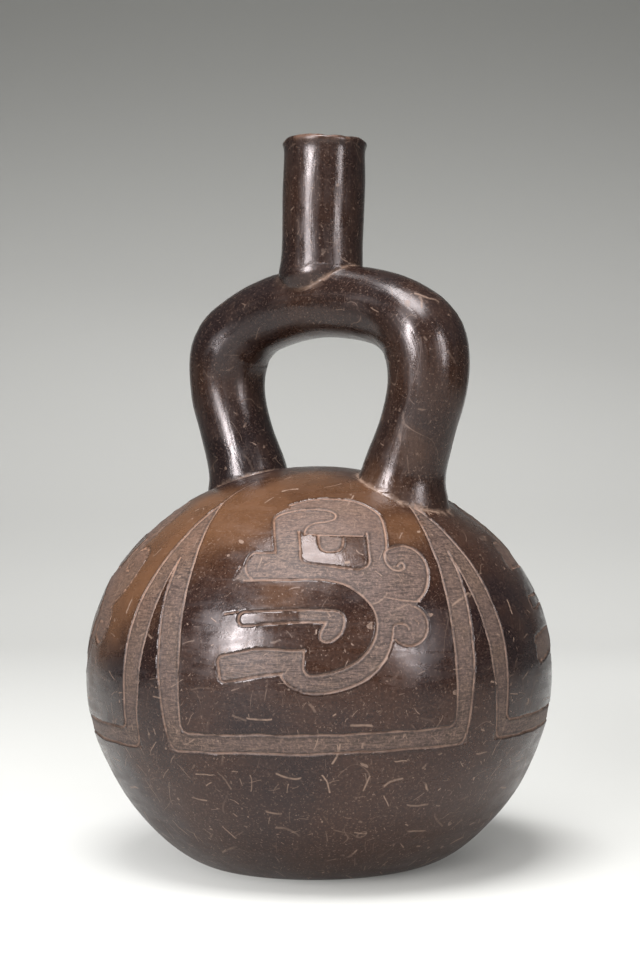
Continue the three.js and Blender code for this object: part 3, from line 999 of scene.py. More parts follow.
@dataclass(frozen=True)
class BurnishedClay:
    """Smoke-blackened clay rubbed to a shine, with fire clouds, worn lines and root marks, and painted shade
    beside the lines and near the foot.
    """

    dark: Colour = (29, 18, 19)
    brown: Colour = (56, 34, 23)
    # Dark brown mixed in near the foot: painted shade under the bowl.
    foot_shade_brown: Colour = (52, 31, 21)
    fired: Colour = (108, 74, 49)
    scraped: Colour = (102, 83, 75)
    scraped_fired: Colour = (115, 87, 71)
    scraped_old: Colour = (86, 67, 50)
    scraped_deep: Colour = (44, 33, 28)
    line_fill: Colour = (144, 117, 102)
    line_fill_fired: Colour = (158, 121, 98)
    # Dark tone laid over the tubes, and painted shade on the ridge beside each groove.
    groove_shade_and_tube_tone: Colour = (27, 20, 17)
    tan: Colour = (138, 114, 99)
    worn: Colour = (104, 78, 65)
    pit: Colour = (17, 12, 11)
    grain: Colour = (108, 87, 76)
    raw: Colour = (74, 54, 44)
    clouds: tuple[Cloud, ...] = (
        Cloud(-50, 42, 0.030, 0.86),
        Cloud(-58, 26, 0.028, 0.85),
        Cloud(-68, 14, 0.020, 0.4),
        Cloud(-30, 50, 0.027, 0.8),
        Cloud(-7, 60, 0.028, 0.62),
        Cloud(18, 54, 0.023, 0.55),
        Cloud(29, 40, 0.014, 0.6),
        Cloud(-9, 24, 0.012, 0.42),
        Cloud(0, 38, 0.024, 0.35),
        Cloud(118, 20, 0.034, 0.7),
        Cloud(205, -8, 0.040, 0.55),
        Cloud(41, 56, 0.010, 0.28, 14),
    )
    bowl: BowlForm = field(default_factory=BowlForm)
    rough_low: float = 0.18
    rough_high: float = 0.36
    rough_scraped: float = 0.62
    bump_strength: float = 0.55
    bump_distance: float = 0.00045
    gloss: float = 0.46
    gloss_tint: tuple[float, float, float, float] = (1.0, 0.915, 0.93, 1.0)

    def masks(self, graph: Graph, position: Signal) -> SimpleNamespace:
        """Everything that colour, shine and relief share: places, noises and the vertices' masks."""
        names = ("groove", "scraped", "line_lip", "worn", "joint", "tube", "inner")
        found = SimpleNamespace(**{name: graph.attribute(name) for name in names})
        found.height = graph.parts(position)[2]
        found.broad = graph.noise(position, 22.0, 3.0, 0.55, 0.3)
        found.mottle = graph.noise(position, 95.0, 4.0, 0.6, 0.2)
        found.fine = graph.noise(position, 1300.0, 3.0, 0.65)
        found.hatch = graph.noise(graph.stretch(position, (300, 300, 2100), (0, 6, 0)), 1.0, 2.0, 0.75, 0.3)
        round_streaks = graph.noise(graph.stretch(position, (55, 55, 330), (14, -9, 0)), 1.0, 3.0, 0.6, 0.6)
        laid = graph.stretch(graph.attribute("laid", "Vector"), (420, 420, 45))
        long_streaks = graph.noise(laid, 1.0, 3.0, 0.6, 0.3)
        found.streaks = found.tube * long_streaks + (1.0 - found.tube) * round_streaks
        found.dusty = graph.span(graph.noise(position, 260.0, 3.0, 0.7), 0.32, 0.56, 0.3, 1.0)
        found.cloud = self.cloud_mask(graph, position)
        return found

    def cloud_mask(self, graph: Graph, position: Signal) -> Signal:
        """Where the clay fired warm, with uneven edges."""
        ragged = graph.noise(position, 42.0, 4.0, 0.55, 0.4)
        spots: list[object] = [0.0]
        for cloud in self.clouds:
            away = graph.vector("DISTANCE", position, cloud.place(self.bowl))
            away = away + (ragged - 0.5) * (cloud.reach * 1.1)
            spots.append(graph.span(away, cloud.reach * 0.3, cloud.reach * 1.05, cloud.strength, 0))
        return graph.most(*spots)

    def burnished(self, graph: Graph, on: SimpleNamespace) -> Signal:
        """Colour of the smoked and rubbed skin, browner near the foot as painted shade under the bowl, and
        warm in the fire clouds.
        """
        base = graph.blend(graph.span(on.broad, 0.36, 0.66), self.dark, self.brown)
        base = graph.blend(graph.span(on.mottle, 0.45, 0.75) * 0.45, base, self.brown)
        # Painted shade under the bowl: below about 5 cm the skin is mixed towards a dark brown.
        low = graph.span(on.height, 0.006, 0.05, 0.85, 0.0) * graph.span(on.broad, 0.3, 0.6, 0.6, 1.0)
        base = graph.blend(low, base, self.foot_shade_brown)
        base = graph.blend(on.cloud * graph.span(on.mottle, 0.2, 0.7, 0.7, 1.0), base, self.fired)
        base = graph.blend(on.tube * 0.32, base, self.groove_shade_and_tube_tone)
        pits = graph.span(on.fine, 0.49, 0.34, 0.0, 0.5) * graph.span(on.cloud, 0.0, 0.6, 1.0, 0.35)
        base = graph.blend(pits, base, self.pit)
        return graph.blend(graph.span(on.fine, 0.54, 0.70, 0.0, 0.36), base, self.grain)

    def ground(self, graph: Graph, on: SimpleNamespace) -> Signal:
        """Colour of the scraped grounds, with their hatching."""
        matt = graph.blend(on.cloud * 0.9, self.scraped, self.scraped_fired)
        depth = graph.span(on.hatch, 0.36, 0.60, 1.0, 0.0) * graph.span(on.broad, 0.35, 0.6, 0.4, 0.85)
        matt = graph.blend(graph.span(on.mottle, 0.42, 0.64, 0.0, 0.4), matt, self.scraped_old)
        matt = graph.blend(depth, matt, self.scraped_deep)
        matt = graph.blend(graph.span(on.fine, 0.5, 0.68, 0.0, 0.45), matt, self.line_fill)
        return graph.blend(graph.span(on.fine, 0.5, 0.34, 0.0, 0.35), matt, self.scraped_deep)

    def scratches(
        self, graph: Graph, position: Signal, on: SimpleNamespace, marks: Tree, specks: Tree
    ) -> Signal:
        """Mask of root marks, specks, dust and hairline scratches."""
        normal = graph.node("NewGeometry").outputs["Normal"]
        share = graph.most(graph.span(on.height, 0.03, 0.11, 0.80, 0.24), on.tube * 0.3)
        root = graph.group(marks, Position=position, Normal=normal, Share=share)
        speck = graph.group(specks, Position=position, Share=graph.span(on.broad, 0.35, 0.65, 0.15, 0.5))
        thick = graph.most(
            graph.span(on.broad, 0.35, 0.6, 0.15, 0.7), graph.span(on.height, 0.015, 0.06, 0.9, 0.0)
        )
        dust = graph.span(graph.noise(position, 1500.0, 1.0, 0.5), 0.66, 0.73) * thick
        scratch = graph.most(root * 0.85, speck * 0.7) * (on.dusty * graph.span(on.tube, 0, 1, 1.0, 0.6))
        course = graph.noise(graph.stretch(position, (85, 85, 32), (20, 35, 0)), 1.0, 0.0)
        hair = graph.span(graph.math("ABSOLUTE", course - 0.5), 0.0, 0.0045, 0.45, 0.0)
        return graph.most(scratch, dust * 0.6, hair * graph.span(on.mottle, 0.5, 0.6))

    def roughness(self, graph: Graph, on: SimpleNamespace, scratch: Signal) -> Signal:
        """Shine of the burnish, streaked, and matt where it is scraped, marked or never rubbed."""
        gloss = graph.span(on.mottle * 0.5 + on.streaks * 0.5, 0.35, 0.65, self.rough_low, self.rough_high)
        matter = graph.most(
            on.scraped * 0.8, graph.span(on.groove, 0.05, 0.3), scratch * 0.7, on.inner,
            graph.span(on.height, 0.01, 0.045, 0.45, 0.0),
        )
        return Signal(graph, graph.node("Mix", {0: matter, 2: gloss, 3: self.rough_scraped}).outputs[0])

    def bumps(self, graph: Graph, position: Signal, on: SimpleNamespace) -> bpy.types.NodeSocket:
        """Surface normals with burnishing strokes, grain, joint ridges and hatching."""
        relief = graph.noise(position, 130.0, 2.0, 0.5) * 0.5
        relief = relief + on.streaks * graph.span(on.tube, 0, 1, 0.05, 0.45)
        relief = relief + on.fine * 0.12 + on.joint * 0.5 - on.scraped * on.hatch * 0.55
        values = {"Strength": self.bump_strength, "Distance": self.bump_distance, "Height": relief}
        return graph.node("Bump", values).outputs["Normal"]

    def build(self, marks: Tree, specks: Tree) -> bpy.types.Material:
        """The material.

        Args:
            marks: The root marks effect.
            specks: The flecks effect.

        Returns:
            The finished material.
        """
        material, graph, position = new_material("burnished_clay")
        on = self.masks(graph, position)
        hold = on.scraped * graph.span(on.mottle, 0.3, 0.6, 0.72, 0.95)
        base = graph.blend(hold, self.burnished(graph, on), self.ground(graph, on))
        scratch = self.scratches(graph, position, on, marks, specks)
        filling = graph.blend(on.cloud, self.line_fill, self.line_fill_fired)
        bare = graph.blend(graph.span(on.mottle, 0.35, 0.65, 0.0, 0.6), self.raw, self.brown)
        for share, colour in (
            (scratch, self.tan),
            (on.joint * graph.span(on.mottle, 0.40, 0.54, 0.3, 0.95), self.tan),
            (on.worn * graph.span(on.mottle, 0.46, 0.60, 0.05, 0.85), self.worn),
            # Painted shade: the ridge beside each groove is darkened as if it lay in shadow.
            (on.line_lip * 0.55, self.groove_shade_and_tube_tone),
            (graph.span(on.groove, 0.10, 0.65) * on.dusty * 0.72, filling),
            (on.inner, bare),
        ):
            base = graph.blend(share, base, colour)
        graph.fill(material.node_tree.nodes["Principled BSDF"].inputs, {
            "Base Color": base,
            "Roughness": self.roughness(graph, on, scratch),
            "Normal": self.bumps(graph, position, on),
            "Specular IOR Level": self.gloss,
            "Specular Tint": self.gloss_tint,
        })
        return material


@dataclass(frozen=True)
class Lamp:
    """One soft box that looks at the vessel; its azimuth is counted from the camera to the right."""

    name: str
    azimuth: float
    elevation: float
    size: Pair
    power: float
    unseen_by: tuple[str, ...] = ()


@dataclass(frozen=True)
class Studio:
    """Pale paper, soft lights and the camera."""

    paper_low: Colour = (200, 200, 197)
    # Darker paper in a disc left of the vessel, under the strongest painted glow.
    paper_left_under_painted_light: Colour = (158, 158, 156)
    # Painted shadow: darker paper to the right of the vessel.
    paper_right_painted_shadow: Colour = (180, 180, 177)
    paper_middle: Colour = (202, 202, 199)
    # Painted falloff of the light: grey at the top of the wall.
    paper_high_painted_falloff: Colour = (131, 131, 128)
    # Painted light: the floor's emission glow, strongest in a disc left of the vessel.
    painted_floor_light: Colour = (134, 134, 132)
    painted_fill_left: Colour = (255, 255, 252)
    painted_light_strength: float = 0.5
    wall: float = 1.35
    curve: float = 0.60
    curve_steps: int = 24
    top: float = 1.6
    half_width: float = 0.8
    front: float = -1.6
    aim: tuple[float, float, float] = (0, 0, 0.12)
    lamp_distance: float = 1.1
    lamps: tuple[Lamp, ...] = (
        Lamp("soft_left", -41, 21, (0.20, 0.62), 18, ("diffuse",)),
        Lamp("soft_wash", -8, 34, (1.10, 1.10), 14, ("glossy",)),
        Lamp("soft_right", 44, 18, (0.13, 0.54), 5.4, ("diffuse",)),
        Lamp("soft_top", -20, 73, (0.56, 0.42), 17),
        Lamp("soft_back", 168, 36, (0.80, 0.80), 1.8, ("glossy", "camera")),
    )
    wall_lamp_power: float = 0.5
    wall_lamp_spread: float = 110.0
    air: tuple[float, float, float, float] = (1.0, 0.98, 0.97, 1)
    air_strength: float = 0.13
    camera_place: tuple[float, float, float] = (0.00032, -0.6, 0.12157)
    lens: float = 69.35

    def paper(self) -> Piece:
        """The floor that runs up into a backdrop."""
        turns = [math.pi / 2 * step / self.curve_steps for step in range(self.curve_steps + 1)]
        bends = [
            Vector((0, math.sin(b) - math.sin(a), math.cos(a) - math.cos(b))) * self.curve
            for a, b in zip(turns, turns[1:])
        ]
        route = [Vector((0, self.wall - self.curve - self.front, 0)), *bends, Vector((0, 0, self.top))]
        sheet = draw_path("paper_sweep", Vector((-self.half_width, self.front, 0)), route)
        with editing(sheet):
            bpy.ops.mesh.select_all(action="SELECT")
            bpy.ops.mesh.extrude_edges_move(TRANSFORM_OT_translate={"value": (self.half_width * 2, 0, 0)})
            bpy.ops.mesh.select_all(action="SELECT")
            bpy.ops.mesh.normals_make_consistent(inside=True)
        bpy.ops.object.shade_smooth()
        sheet.data.materials.append(self.paper_finish())
        return sheet

    def paper_finish(self) -> bpy.types.Material:
        """Matt paper with painted light: darker up the wall as painted falloff of the light, a painted shadow
        right of the vessel, and an emission glow on the floor that paints fill light, strongest left of the
        vessel.
        """
        material, graph, position = new_material("paper_with_painted_light")
        x, y, z = graph.parts(position)
        # Painted light: in a disc left of the vessel the paper is darker and glows strongly, filling the
        # shadow under the bowl.
        left = graph.span(graph.vector("DISTANCE", position, (-0.105, 0.0, 0.0)), 0.055, 0.135, 1.0, 0.0)
        # Painted shadow: the floor right of the vessel, in front of the wall, is darker.
        right = graph.span(x, 0.03, 0.18) * graph.span(y, 0.15, 0.6, 1.0, 0.0)
        paper = graph.blend(right, self.paper_low, self.paper_right_painted_shadow)
        paper = graph.blend(left, paper, self.paper_left_under_painted_light)
        # Painted falloff of the light: the paper greys up the wall.
        paper = graph.blend(graph.span(z, -0.03, 0.25), paper, self.paper_middle)
        paper = graph.blend(graph.span(z, 0.10, 0.70), paper, self.paper_high_painted_falloff)
        # Painted light: the floor glows, fading out by 10 cm up the wall, to fill the shadows that the lamps
        # cast.
        painted_floor_light = graph.blend(left, self.painted_floor_light, self.painted_fill_left)
        painted_floor_light = graph.blend(graph.span(z, -0.02, 0.10), painted_floor_light, (0, 0, 0))
        graph.fill(material.node_tree.nodes["Principled BSDF"].inputs, {
            "Base Color": paper,
            "Emission Color": painted_floor_light,
            "Emission Strength": self.painted_light_strength,
            "Roughness": 0.9,
            "Specular IOR Level": 0.2,
        })
        return material

    def hang(self, name: str, size: Pair, power: float, place: Vector, aim: Vector) -> Piece:
        """Hangs one soft box of a width and height at a place, looking at a point."""
        data = bpy.data.lights.new(name, "AREA")
        data.shape = "RECTANGLE"
        data.size, data.size_y = size
        data.energy = power
        lamp = bpy.data.objects.new(name, data)
        bpy.context.scene.collection.objects.link(lamp)
        lamp.location = place
        lamp.rotation_euler = (place - aim).to_track_quat("Z", "Y").to_euler()
        return lamp

    def light(self) -> None:
        """Hangs the lamps round the vessel, and one out of sight above for the backdrop alone."""
        aim = Vector(self.aim)
        for lamp in self.lamps:
            az, el = math.radians(lamp.azimuth), math.radians(lamp.elevation)
            away = Vector((math.sin(az) * math.cos(el), -math.cos(az) * math.cos(el), math.sin(el)))
            box = self.hang(lamp.name, lamp.size, lamp.power, aim + away * self.lamp_distance, aim)
            for ray in lamp.unseen_by:
                setattr(box, f"visible_{ray}", False)
        place, aim = Vector((0, 0.45, 1.05)), Vector((0, 1.2, 0.15))
        high = self.hang("soft_wall", (1.2, 0.3), self.wall_lamp_power, place, aim)
        high.data.spread = math.radians(self.wall_lamp_spread)
        world = bpy.data.worlds.new("studio_air")
        world.use_nodes = True
        air = world.node_tree.nodes["Background"].inputs
        Graph(world.node_tree).fill(air, {"Color": self.air, "Strength": self.air_strength})
        bpy.context.scene.world = world

    def camera(self) -> None:
        """A level camera in front of the vessel."""
        camera = bpy.data.objects.new("camera", bpy.data.cameras.new("camera"))
        bpy.context.scene.collection.objects.link(camera)
        camera.location = self.camera_place
        camera.rotation_euler = (math.pi / 2, 0, 0)
        camera.data.lens = self.lens
        camera.data.clip_start = 0.01
        bpy.context.scene.camera = camera

    def build(self) -> None:
        """Sets up paper, lights, world and camera."""
        self.paper()
        self.light()
        bpy.context.scene.view_settings.view_transform = "Standard"
        self.camera()


@dataclass
class Relief:
    """Incised lines and scraped grounds, carved into the bowl as real relief."""

    bowl: BowlForm
    panels: PanelDrawing
    line_half_width: float = 0.54
    line_depth: float = 0.55
    scrape_depth: float = 0.22
    wander: float = 0.16
    reaches: tuple[float, ...] = (3.9, 1.9)
    close_reach: float = 0.95
    close_half: float = 57.0
    snap: float = 0.16
    snap_wide: float = 0.34
    line_reach: float = 3.0
    width_power: float = 0.6
    depth_power: float = 0.8
    lip_place: float = 1.35
    lip_width: float = 0.35
    lip_height: float = 0.05
    outer_slack: float = 0.6

    def __post_init__(self) -> None:
        """Lays every line on the bowl and sorts its points for searching."""
        self.points, self.tangents, self.weights = self._line_points()
        self.tree = search_tree(self.points)

    def _line_points(self) -> tuple[np.ndarray, np.ndarray, np.ndarray]:
        """Points, directions and weights of all lines, with a hand's small wander."""
        points, tangents, weights = [], [], []
        for number, (angles, weight) in enumerate(self.panels.lines()):
            line = self.bowl.point(angles[:, 0], angles[:, 1])
            keep = np.concatenate([[True], np.linalg.norm(np.diff(line, axis=0), axis=1) > 0.05])
            line = line[keep]
            shake = np.array([
                noise.noise_vector(Vector(point) * 0.11 + Vector((number * 7.3, 0, 0))) for point in line
            ])
            line = line + shake * self.wander * 2
            along = np.gradient(line, axis=0)
            along /= np.maximum(np.linalg.norm(along, axis=1, keepdims=True), 1e-9)
            pressure = np.array([
                0.9 + 0.25 * noise.noise(Vector(point) * 0.35 + Vector((0, number * 3.1, 0)))
                for point in line
            ])
            points.append(line)
            tangents.append(along)
            weights.append(weight * pressure)
        return np.concatenate(points), np.concatenate(tangents), np.concatenate(weights)

    def nearest(self, upright: np.ndarray) -> tuple[np.ndarray, np.ndarray, np.ndarray]:
        """For each point: the distance to the nearest line, the offset to it, and its weight."""
        distance = np.empty(len(upright))
        offset = np.empty((len(upright), 3))
        weight = np.empty(len(upright))
        for index, point in enumerate(upright):
            _, found, _ = self.tree.find(point)
            gap = self.points[found] - point
            along = self.tangents[found]
            across = gap - along * np.dot(gap, along)
            if abs(np.dot(gap, along)) > 0.5:
                across = gap
            distance[index] = np.linalg.norm(across)
            offset[index] = across
            weight[index] = self.weights[found]
        return distance, offset, weight

    def refine(self, piece: Piece, outer: np.ndarray, reach: float) -> None:
        """Splits the faces that lie within reach of a line into four."""
        upright = self.bowl.upright(vertex_array(piece))
        near = np.zeros(len(upright), bool)
        for index in np.nonzero(outer)[0]:
            near[index] = self.tree.find(upright[index])[2] < reach
        split_faces(piece, near)

    def on_outside(self, piece: Piece) -> np.ndarray:
        """Which vertices lie on the outer surface of the bowl."""
        upright = self.bowl.upright(vertex_array(piece))
        azimuth, elevation = self.bowl.angles(upright)
        surface = self.bowl.point(azimuth, elevation)
        gap = np.linalg.norm(upright - surface, axis=1)
        return (gap < self.outer_slack) & (elevation > -30)

    def carve(self, piece: Piece) -> None:
        """Refines the bowl near its lines and presses lines and grounds into it."""
        for reach in self.reaches:
            self.refine(piece, self.on_outside(piece), reach)
        azimuth, _ = self.bowl.angles(self.bowl.upright(vertex_array(piece)))
        self.refine(piece, self.on_outside(piece) & (np.abs(azimuth) < self.close_half), self.close_reach)
        outer = self.on_outside(piece)
        points = self.bowl.upright(vertex_array(piece))
        chosen = np.nonzero(outer)[0]
        near = np.array([self.tree.find(points[index])[2] < self.line_reach for index in chosen])
        lined = chosen[near]
        place = points[lined]
        distance, offset, weight = self.nearest(place)
        half = self.line_half_width * weight ** self.width_power
        catch = np.where(np.abs(self.bowl.angles(place)[0]) < self.close_half, self.snap, self.snap_wide)
        for level in (0.0, 1.0):
            target = half * level
            miss = distance - target
            move = np.abs(miss) < catch
            unit = offset / np.maximum(distance, 1e-6)[:, None]
            place[move] += unit[move] * miss[move][:, None]
            distance, offset, weight = self.nearest(place)
            half = self.line_half_width * weight ** self.width_power
        points[lined] = place
        share = np.clip(1 - distance / half, 0, 1)
        groove = np.zeros(len(points))
        groove[lined] = share
        depth = np.zeros(len(points))
        depth[lined] = self.line_depth * weight * share ** self.depth_power
        lip = np.zeros(len(points))
        lip[lined] = np.exp(-((distance - half * self.lip_place) / self.lip_width) ** 2) * weight
        azimuth, elevation = self.bowl.angles(points[chosen])
        ground = np.zeros(len(points))
        ground[chosen] = self.panels.scraped(azimuth, elevation)
        ground[lined[distance < 0.12]] = 0.5
        edge = np.ones(len(points))
        edge[lined] = np.clip(distance / (half * 2), 0, 1)
        depth += self.scrape_depth * ground * edge * (groove < 0.5)
        depth -= self.lip_height * lip * (1 - ground)
        points[chosen] -= self.bowl.normal(points[chosen]) * depth[chosen][:, None]
        set_vertices(piece, self.bowl.leaning(points))
        store(piece, "groove", groove)
        store(piece, "scraped", ground)
        store(piece, "line_lip", lip)
        LOG.info("relief: %d vertices near lines", len(lined))


@dataclass
class Vessel:
    """The whole bottle as one hollow piece."""

    bowl: BowlForm = field(default_factory=BowlForm)
    stirrup: StirrupForm = field(default_factory=StirrupForm)
    spout: SpoutForm = field(default_factory=SpoutForm)
    bowl_sides: int = 144
    bowl_rows: int = 72
    hollow_sides: int = 40
    hollow_rows: int = 24
    joint_angle: float = 24.0
    joint_reaches: tuple[float, ...] = (4.0, 2.2)
    joint_smooth: float = 3.0
    seam_limit: float = 8.0
    line_steps: int = 16
    wall_slack: float = 0.8
    skin_slack: float = 1.2
    tube_slack: float = 7.0
    root_slack: float = 0.5
    spout_reach: float = 20.0
    shaft_reach: float = 17.0
    shaft_foot: float = 11.0
    wear_at_lip: float = 1.6
    wear_at_joint: float = 0.5
    inner_gap: float = 0.4
    sway: float = 0.45
    ripple: float = 0.12
    lip_chips: float = 1.0
    walls: BVHTree | None = field(init=False, default=None)

    def spout_body(self, name: str, profile: list[Pair], sides: int) -> Piece:
        """Turns a spout profile and stands it, leaning, on the crown."""
        piece = turned(name, profile, sides)
        crown = self.stirrup.crown_height(self.bowl)
        stand = Matrix.Translation((self.spout.offset, 0, crown))
        place_mesh(piece, stand @ Matrix.Rotation(math.radians(self.spout.lean), 4, "Y"))
        return piece

    def spout_outside(self) -> Piece:
        """The outer spout, from inside the crown to its rounded lip."""
        form = self.spout
        top = self.stirrup.radius * self.stirrup.stations[-1][2]
        seat = top - form.seat_depth
        profile = [(0.0, 0.0), (form.radius - self.stirrup.wall, 0.0)]
        root = form.radius + form.root_flare
        seating = ((2.9, 6.6), (1.6, 4.6), (0.8, 3.0), (0.25, 1.4))
        profile += [(root - drop, seat - below) for drop, below in seating]
        profile.append((root, seat))
        for t in shares(8):
            profile.append((form.radius + form.root_flare * (1 - t) ** 2.2, seat + form.root_height * t))
        shaft = form.length - form.lip_band
        start = seat + form.root_height
        profile += [(form.radius, start + (shaft - start) * t) for t in shares(14)]
        lip = form.radius + form.lip_flare
        for t in shares(4):
            height = shaft + (form.lip_band - form.lip_round) * t
            profile.append((form.radius + form.lip_flare * t * t, height))
        for t in shares(4):
            angle = math.radians(90 * t)
            profile.append((
                lip - form.lip_round * (1 - math.cos(angle)),
                form.length - form.lip_round * (1 - math.sin(angle)),
            ))
        profile += [(lip - form.lip_round - 1.0, form.length), (0.0, form.length)]
        return self.spout_body("spout_outside", profile, 64)

    def spout_bore(self) -> Piece:
        """The bore of the spout, which opens a little at the lip."""
        form = self.spout
        bore = form.radius - form.wall
        profile = [(0.0, 0.0), (self.stirrup.radius - self.stirrup.wall - 1, 0.0)]
        profile.append((bore, self.stirrup.radius))
        opening = ((0.0, -8.0), (0.0, -2.2), (0.25, -1.0), (1.1, -0.2), (2.2, 0.6), (2.2, 4.0))
        profile += [(bore + flare, form.length + above) for flare, above in opening]
        profile.append((0.0, form.length + 4.0))
        return self.spout_body("spout_bore", profile, 40)

    def build(self) -> Piece:
        """Makes the hollow vessel with smooth walls.

        Returns:
            The vessel object, before its relief.
        """
        rows = self.stirrup.smooth_rows(self.bowl, 6)
        body = turned("vessel_clay", self.bowl.profile(0, self.bowl_rows), self.bowl_sides)
        place_mesh(body, self.bowl.lean_matrix)
        hollow = turned("hollow", self.bowl.profile(self.bowl.wall, self.hollow_rows), self.hollow_sides)
        place_mesh(hollow, self.bowl.lean_matrix)
        combine(body, bent_tube("stirrup_outside", rows, 0, 10), "UNION")
        combine(body, self.spout_outside(), "UNION")
        coarse = self.stirrup.smooth_rows(self.bowl, 3)
        combine(hollow, bent_tube("stirrup_bore", coarse, self.stirrup.wall, 4), "UNION")
        combine(hollow, self.spout_bore(), "UNION")
        self.walls = BVHTree.FromPolygons(
            [place[:] for place in vertex_array(hollow)], [face.vertices[:] for face in hollow.data.polygons]
        )
        combine(body, hollow, "DIFFERENCE")
        with editing(body):
            bpy.ops.mesh.select_all(action="SELECT")
            bpy.ops.mesh.bisect(plane_co=(0, 0, 0), plane_no=(0, 0, 1), use_fill=True, clear_inner=True)
        return body

    def middle_line(self) -> tuple[np.ndarray, np.ndarray]:
        """Close points of the stirrup's middle line, and its radii there."""
        rows = self.stirrup.smooth_rows(self.bowl, self.line_steps)
        return np.array([place[:] for place, _ in rows]), np.array([radius for _, radius in rows])

    def joints(self, piece: Piece) -> np.ndarray:
        """Points of the creases where the legs meet the bowl and the spout meets the crown."""
        with editing(piece, "EDGE"):
            bpy.ops.mesh.select_all(action="DESELECT")
            bpy.ops.mesh.edges_select_sharp(sharpness=math.radians(self.joint_angle))
        data = piece.data
        edges = np.empty(len(data.edges), bool)
        data.edges.foreach_get("select", edges)
        points = vertex_array(piece)
        ends = np.array([data.edges[index].vertices[:] for index in np.nonzero(edges)[0]])
        runs = [points[ends[:, 0]] * (1 - t) + points[ends[:, 1]] * t for t in (0.0, 0.33, 0.67)]
        found = np.concatenate(runs)
        crown = self.stirrup.crown_height(self.bowl)
        outside = self.outside(found, self.wall_slack)
        level = np.hypot(found[:, 0], found[:, 1])
        middle, radii = self.middle_line()
        gaps = np.linalg.norm(found[:, None, :] - middle[None], axis=2)
        skin = np.abs(gaps.min(axis=1) - radii[gaps.argmin(axis=1)]) < self.skin_slack
        legs = (found[:, 2] > self.bowl.top_at(60)) & (found[:, 2] < self.bowl.top_at(0) + 2)
        root = (found[:, 2] > crown + 1) & (found[:, 2] < crown + 20) & (level < self.spout_reach)
        return found[(legs | root) & skin & outside]

    def outside(self, points: np.ndarray, slack: float) -> np.ndarray:
        """Which points lie on the outer skin rather than on the hollow's walls."""
        middle = np.array([0, 0, self.bowl.widest])
        upright = self.bowl.upright(points)
        surface = self.bowl.point(*self.bowl.angles(upright))
        gap = np.linalg.norm(upright - middle, axis=1) - np.linalg.norm(surface - middle, axis=1)
        return gap > -slack

    def straighten(self, piece: Piece) -> tuple[np.ndarray, np.ndarray]:
        """Coordinates laid along the tubes, and which vertices they hold for.

        Args:
            piece: The vessel.

        Returns:
            Millimetre coordinates whose third runs along each tube, and a mask of 0 to 1.
        """
        points = vertex_array(piece)
        laid = points.copy()
        line, radii = self.middle_line()
        along = np.gradient(line, axis=0)
        along /= np.linalg.norm(along, axis=1, keepdims=True)
        run = np.concatenate([[0], np.cumsum(np.linalg.norm(np.diff(line, axis=0), axis=1))])
        turn = math.radians(self.stirrup.turn)
        flat = np.array([math.sin(turn), math.cos(turn), 0])
        tree = search_tree(line)
        tube = np.zeros(len(points))
        crown = self.stirrup.crown_height(self.bowl)
        level = np.hypot(points[:, 0], points[:, 1])
        spout = (level < self.shaft_reach) & (points[:, 2] > crown + self.shaft_foot)
        tube[spout] = 1
        base = self.stirrup.foot_height(self.bowl)
        top = self.bowl.top_at(0)
        for index in np.nonzero(points[:, 2] > base)[0]:
            _, found, gap = tree.find(points[index])
            slack = self.tube_slack if points[index][2] > top + 20 else self.root_slack
            if spout[index] or gap > radii[found] + slack:
                continue
            offset = points[index] - line[found]
            side = np.cross(flat, along[found])
            laid[index] = (offset @ side, offset @ flat, run[found] + offset @ along[found])
            tube[index] = 1
        return laid, tube

    def mend_joints(self, piece: Piece) -> np.ndarray:
        """Rounds the creases at the joints a little, as a wet finger would.

        Args:
            piece: The vessel.

        Returns:
            Points along the joints.
        """
        seams = self.joints(piece)
        for reach in self.joint_reaches:
            split_faces(piece, nearest_gap(vertex_array(piece), seams, self.seam_limit) < reach)
        choose(piece, nearest_gap(vertex_array(piece), seams, self.seam_limit) < self.joint_smooth)
        with editing(piece):
            bpy.ops.mesh.vertices_smooth(factor=0.5, repeat=9)
        return seams

    def hand_shape(self, piece: Piece) -> None:
        """Gives the walls the slight unevenness of handwork and chips the lip."""
        points = vertex_array(piece)
        rim = self.stirrup.crown_height(self.bowl) + self.spout.length
        for index, point in enumerate(points):
            place = Vector(point)
            calm = min(max(point[2] / 12, 0), 1)
            sway = noise.noise_vector(place * 0.045) * self.sway
            sway += noise.noise_vector(place * 0.13) * self.ripple
            if point[2] > rim - 3:
                chip = max(noise.noise(place * 0.22 + Vector((3, 7, 1))), 0)
                chip += 0.6 * abs(noise.noise(place * 0.7))
                sway.z -= chip * self.lip_chips * (point[2] - rim + 3) / 3
            sway.z = min(sway.z, 0.2) if point[2] > rim - 3 else sway.z
            points[index] += np.array(sway) * calm
        set_vertices(piece, points)

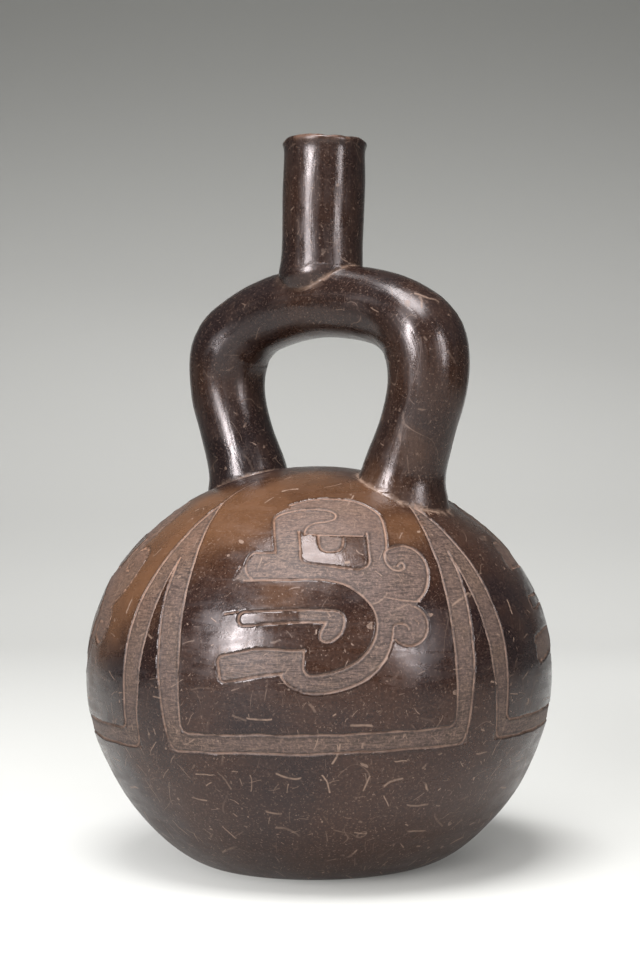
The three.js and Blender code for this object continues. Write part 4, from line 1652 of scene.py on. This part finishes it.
    def wear(self, piece: Piece, seams: np.ndarray) -> None:
        """Marks the rubbed lip, the joints and the way each tube was burnished."""
        points = vertex_array(piece)
        rim = self.stirrup.crown_height(self.bowl) + self.spout.length
        level = np.hypot(points[:, 0], points[:, 1])
        band = np.exp(-((rim - points[:, 2]) / self.wear_at_lip) ** 2) * (level < self.spout_reach)
        store(piece, "worn", np.clip(band, 0, 1))
        crown = self.stirrup.crown_height(self.bowl)
        rubbed = np.where(points[:, 2] > crown, np.clip((points[:, 0] + 9) / 7, 0.15, 1), 1)
        gaps = nearest_gap(points, seams, self.seam_limit)
        store(piece, "joint", np.exp(-(gaps / self.wear_at_joint) ** 2) * rubbed)
        inner = [self.walls.find_nearest(Vector(point), self.inner_gap)[0] is not None for point in points]
        store(piece, "inner", np.array(inner, float))
        laid, tube = self.straighten(piece)
        store(piece, "tube", tube)
        attribute = piece.data.attributes.new("laid", "FLOAT_VECTOR", "POINT")
        attribute.data.foreach_set("vector", (laid * MM).astype(np.float32).ravel())


def main() -> None:
    """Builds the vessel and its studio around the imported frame."""
    logging.basicConfig(level=logging.INFO, format="%(name)s: %(message)s")
    bpy.ops.object.select_all(action="SELECT")
    bpy.ops.object.delete()
    noise.seed_set(NOISE_SEED)
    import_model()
    vessel = Vessel()
    body = vessel.build()
    LOG.info("vessel: %d faces before its relief", len(body.data.polygons))
    seams = vessel.mend_joints(body)
    LOG.info("vessel: %d points along its joints", len(seams))
    relief = Relief(vessel.bowl, PanelDrawing(vessel.bowl))
    relief.carve(body)
    vessel.wear(body, seams)
    vessel.hand_shape(body)
    only(body)
    bpy.ops.object.shade_smooth_by_angle(angle=math.radians(SMOOTH_ANGLE))
    triangles = sum(len(face.vertices) - 2 for face in body.data.polygons)
    LOG.info("vessel: %d triangles", triangles)
    body.data.materials.clear()
    body.data.materials.append(BurnishedClay().build(RootMarks().build(), Flecks().build()))
    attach(body, "root")
    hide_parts(VESSEL_NODE)
    Studio().build()
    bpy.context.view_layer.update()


if __name__ == "__main__":
    main()
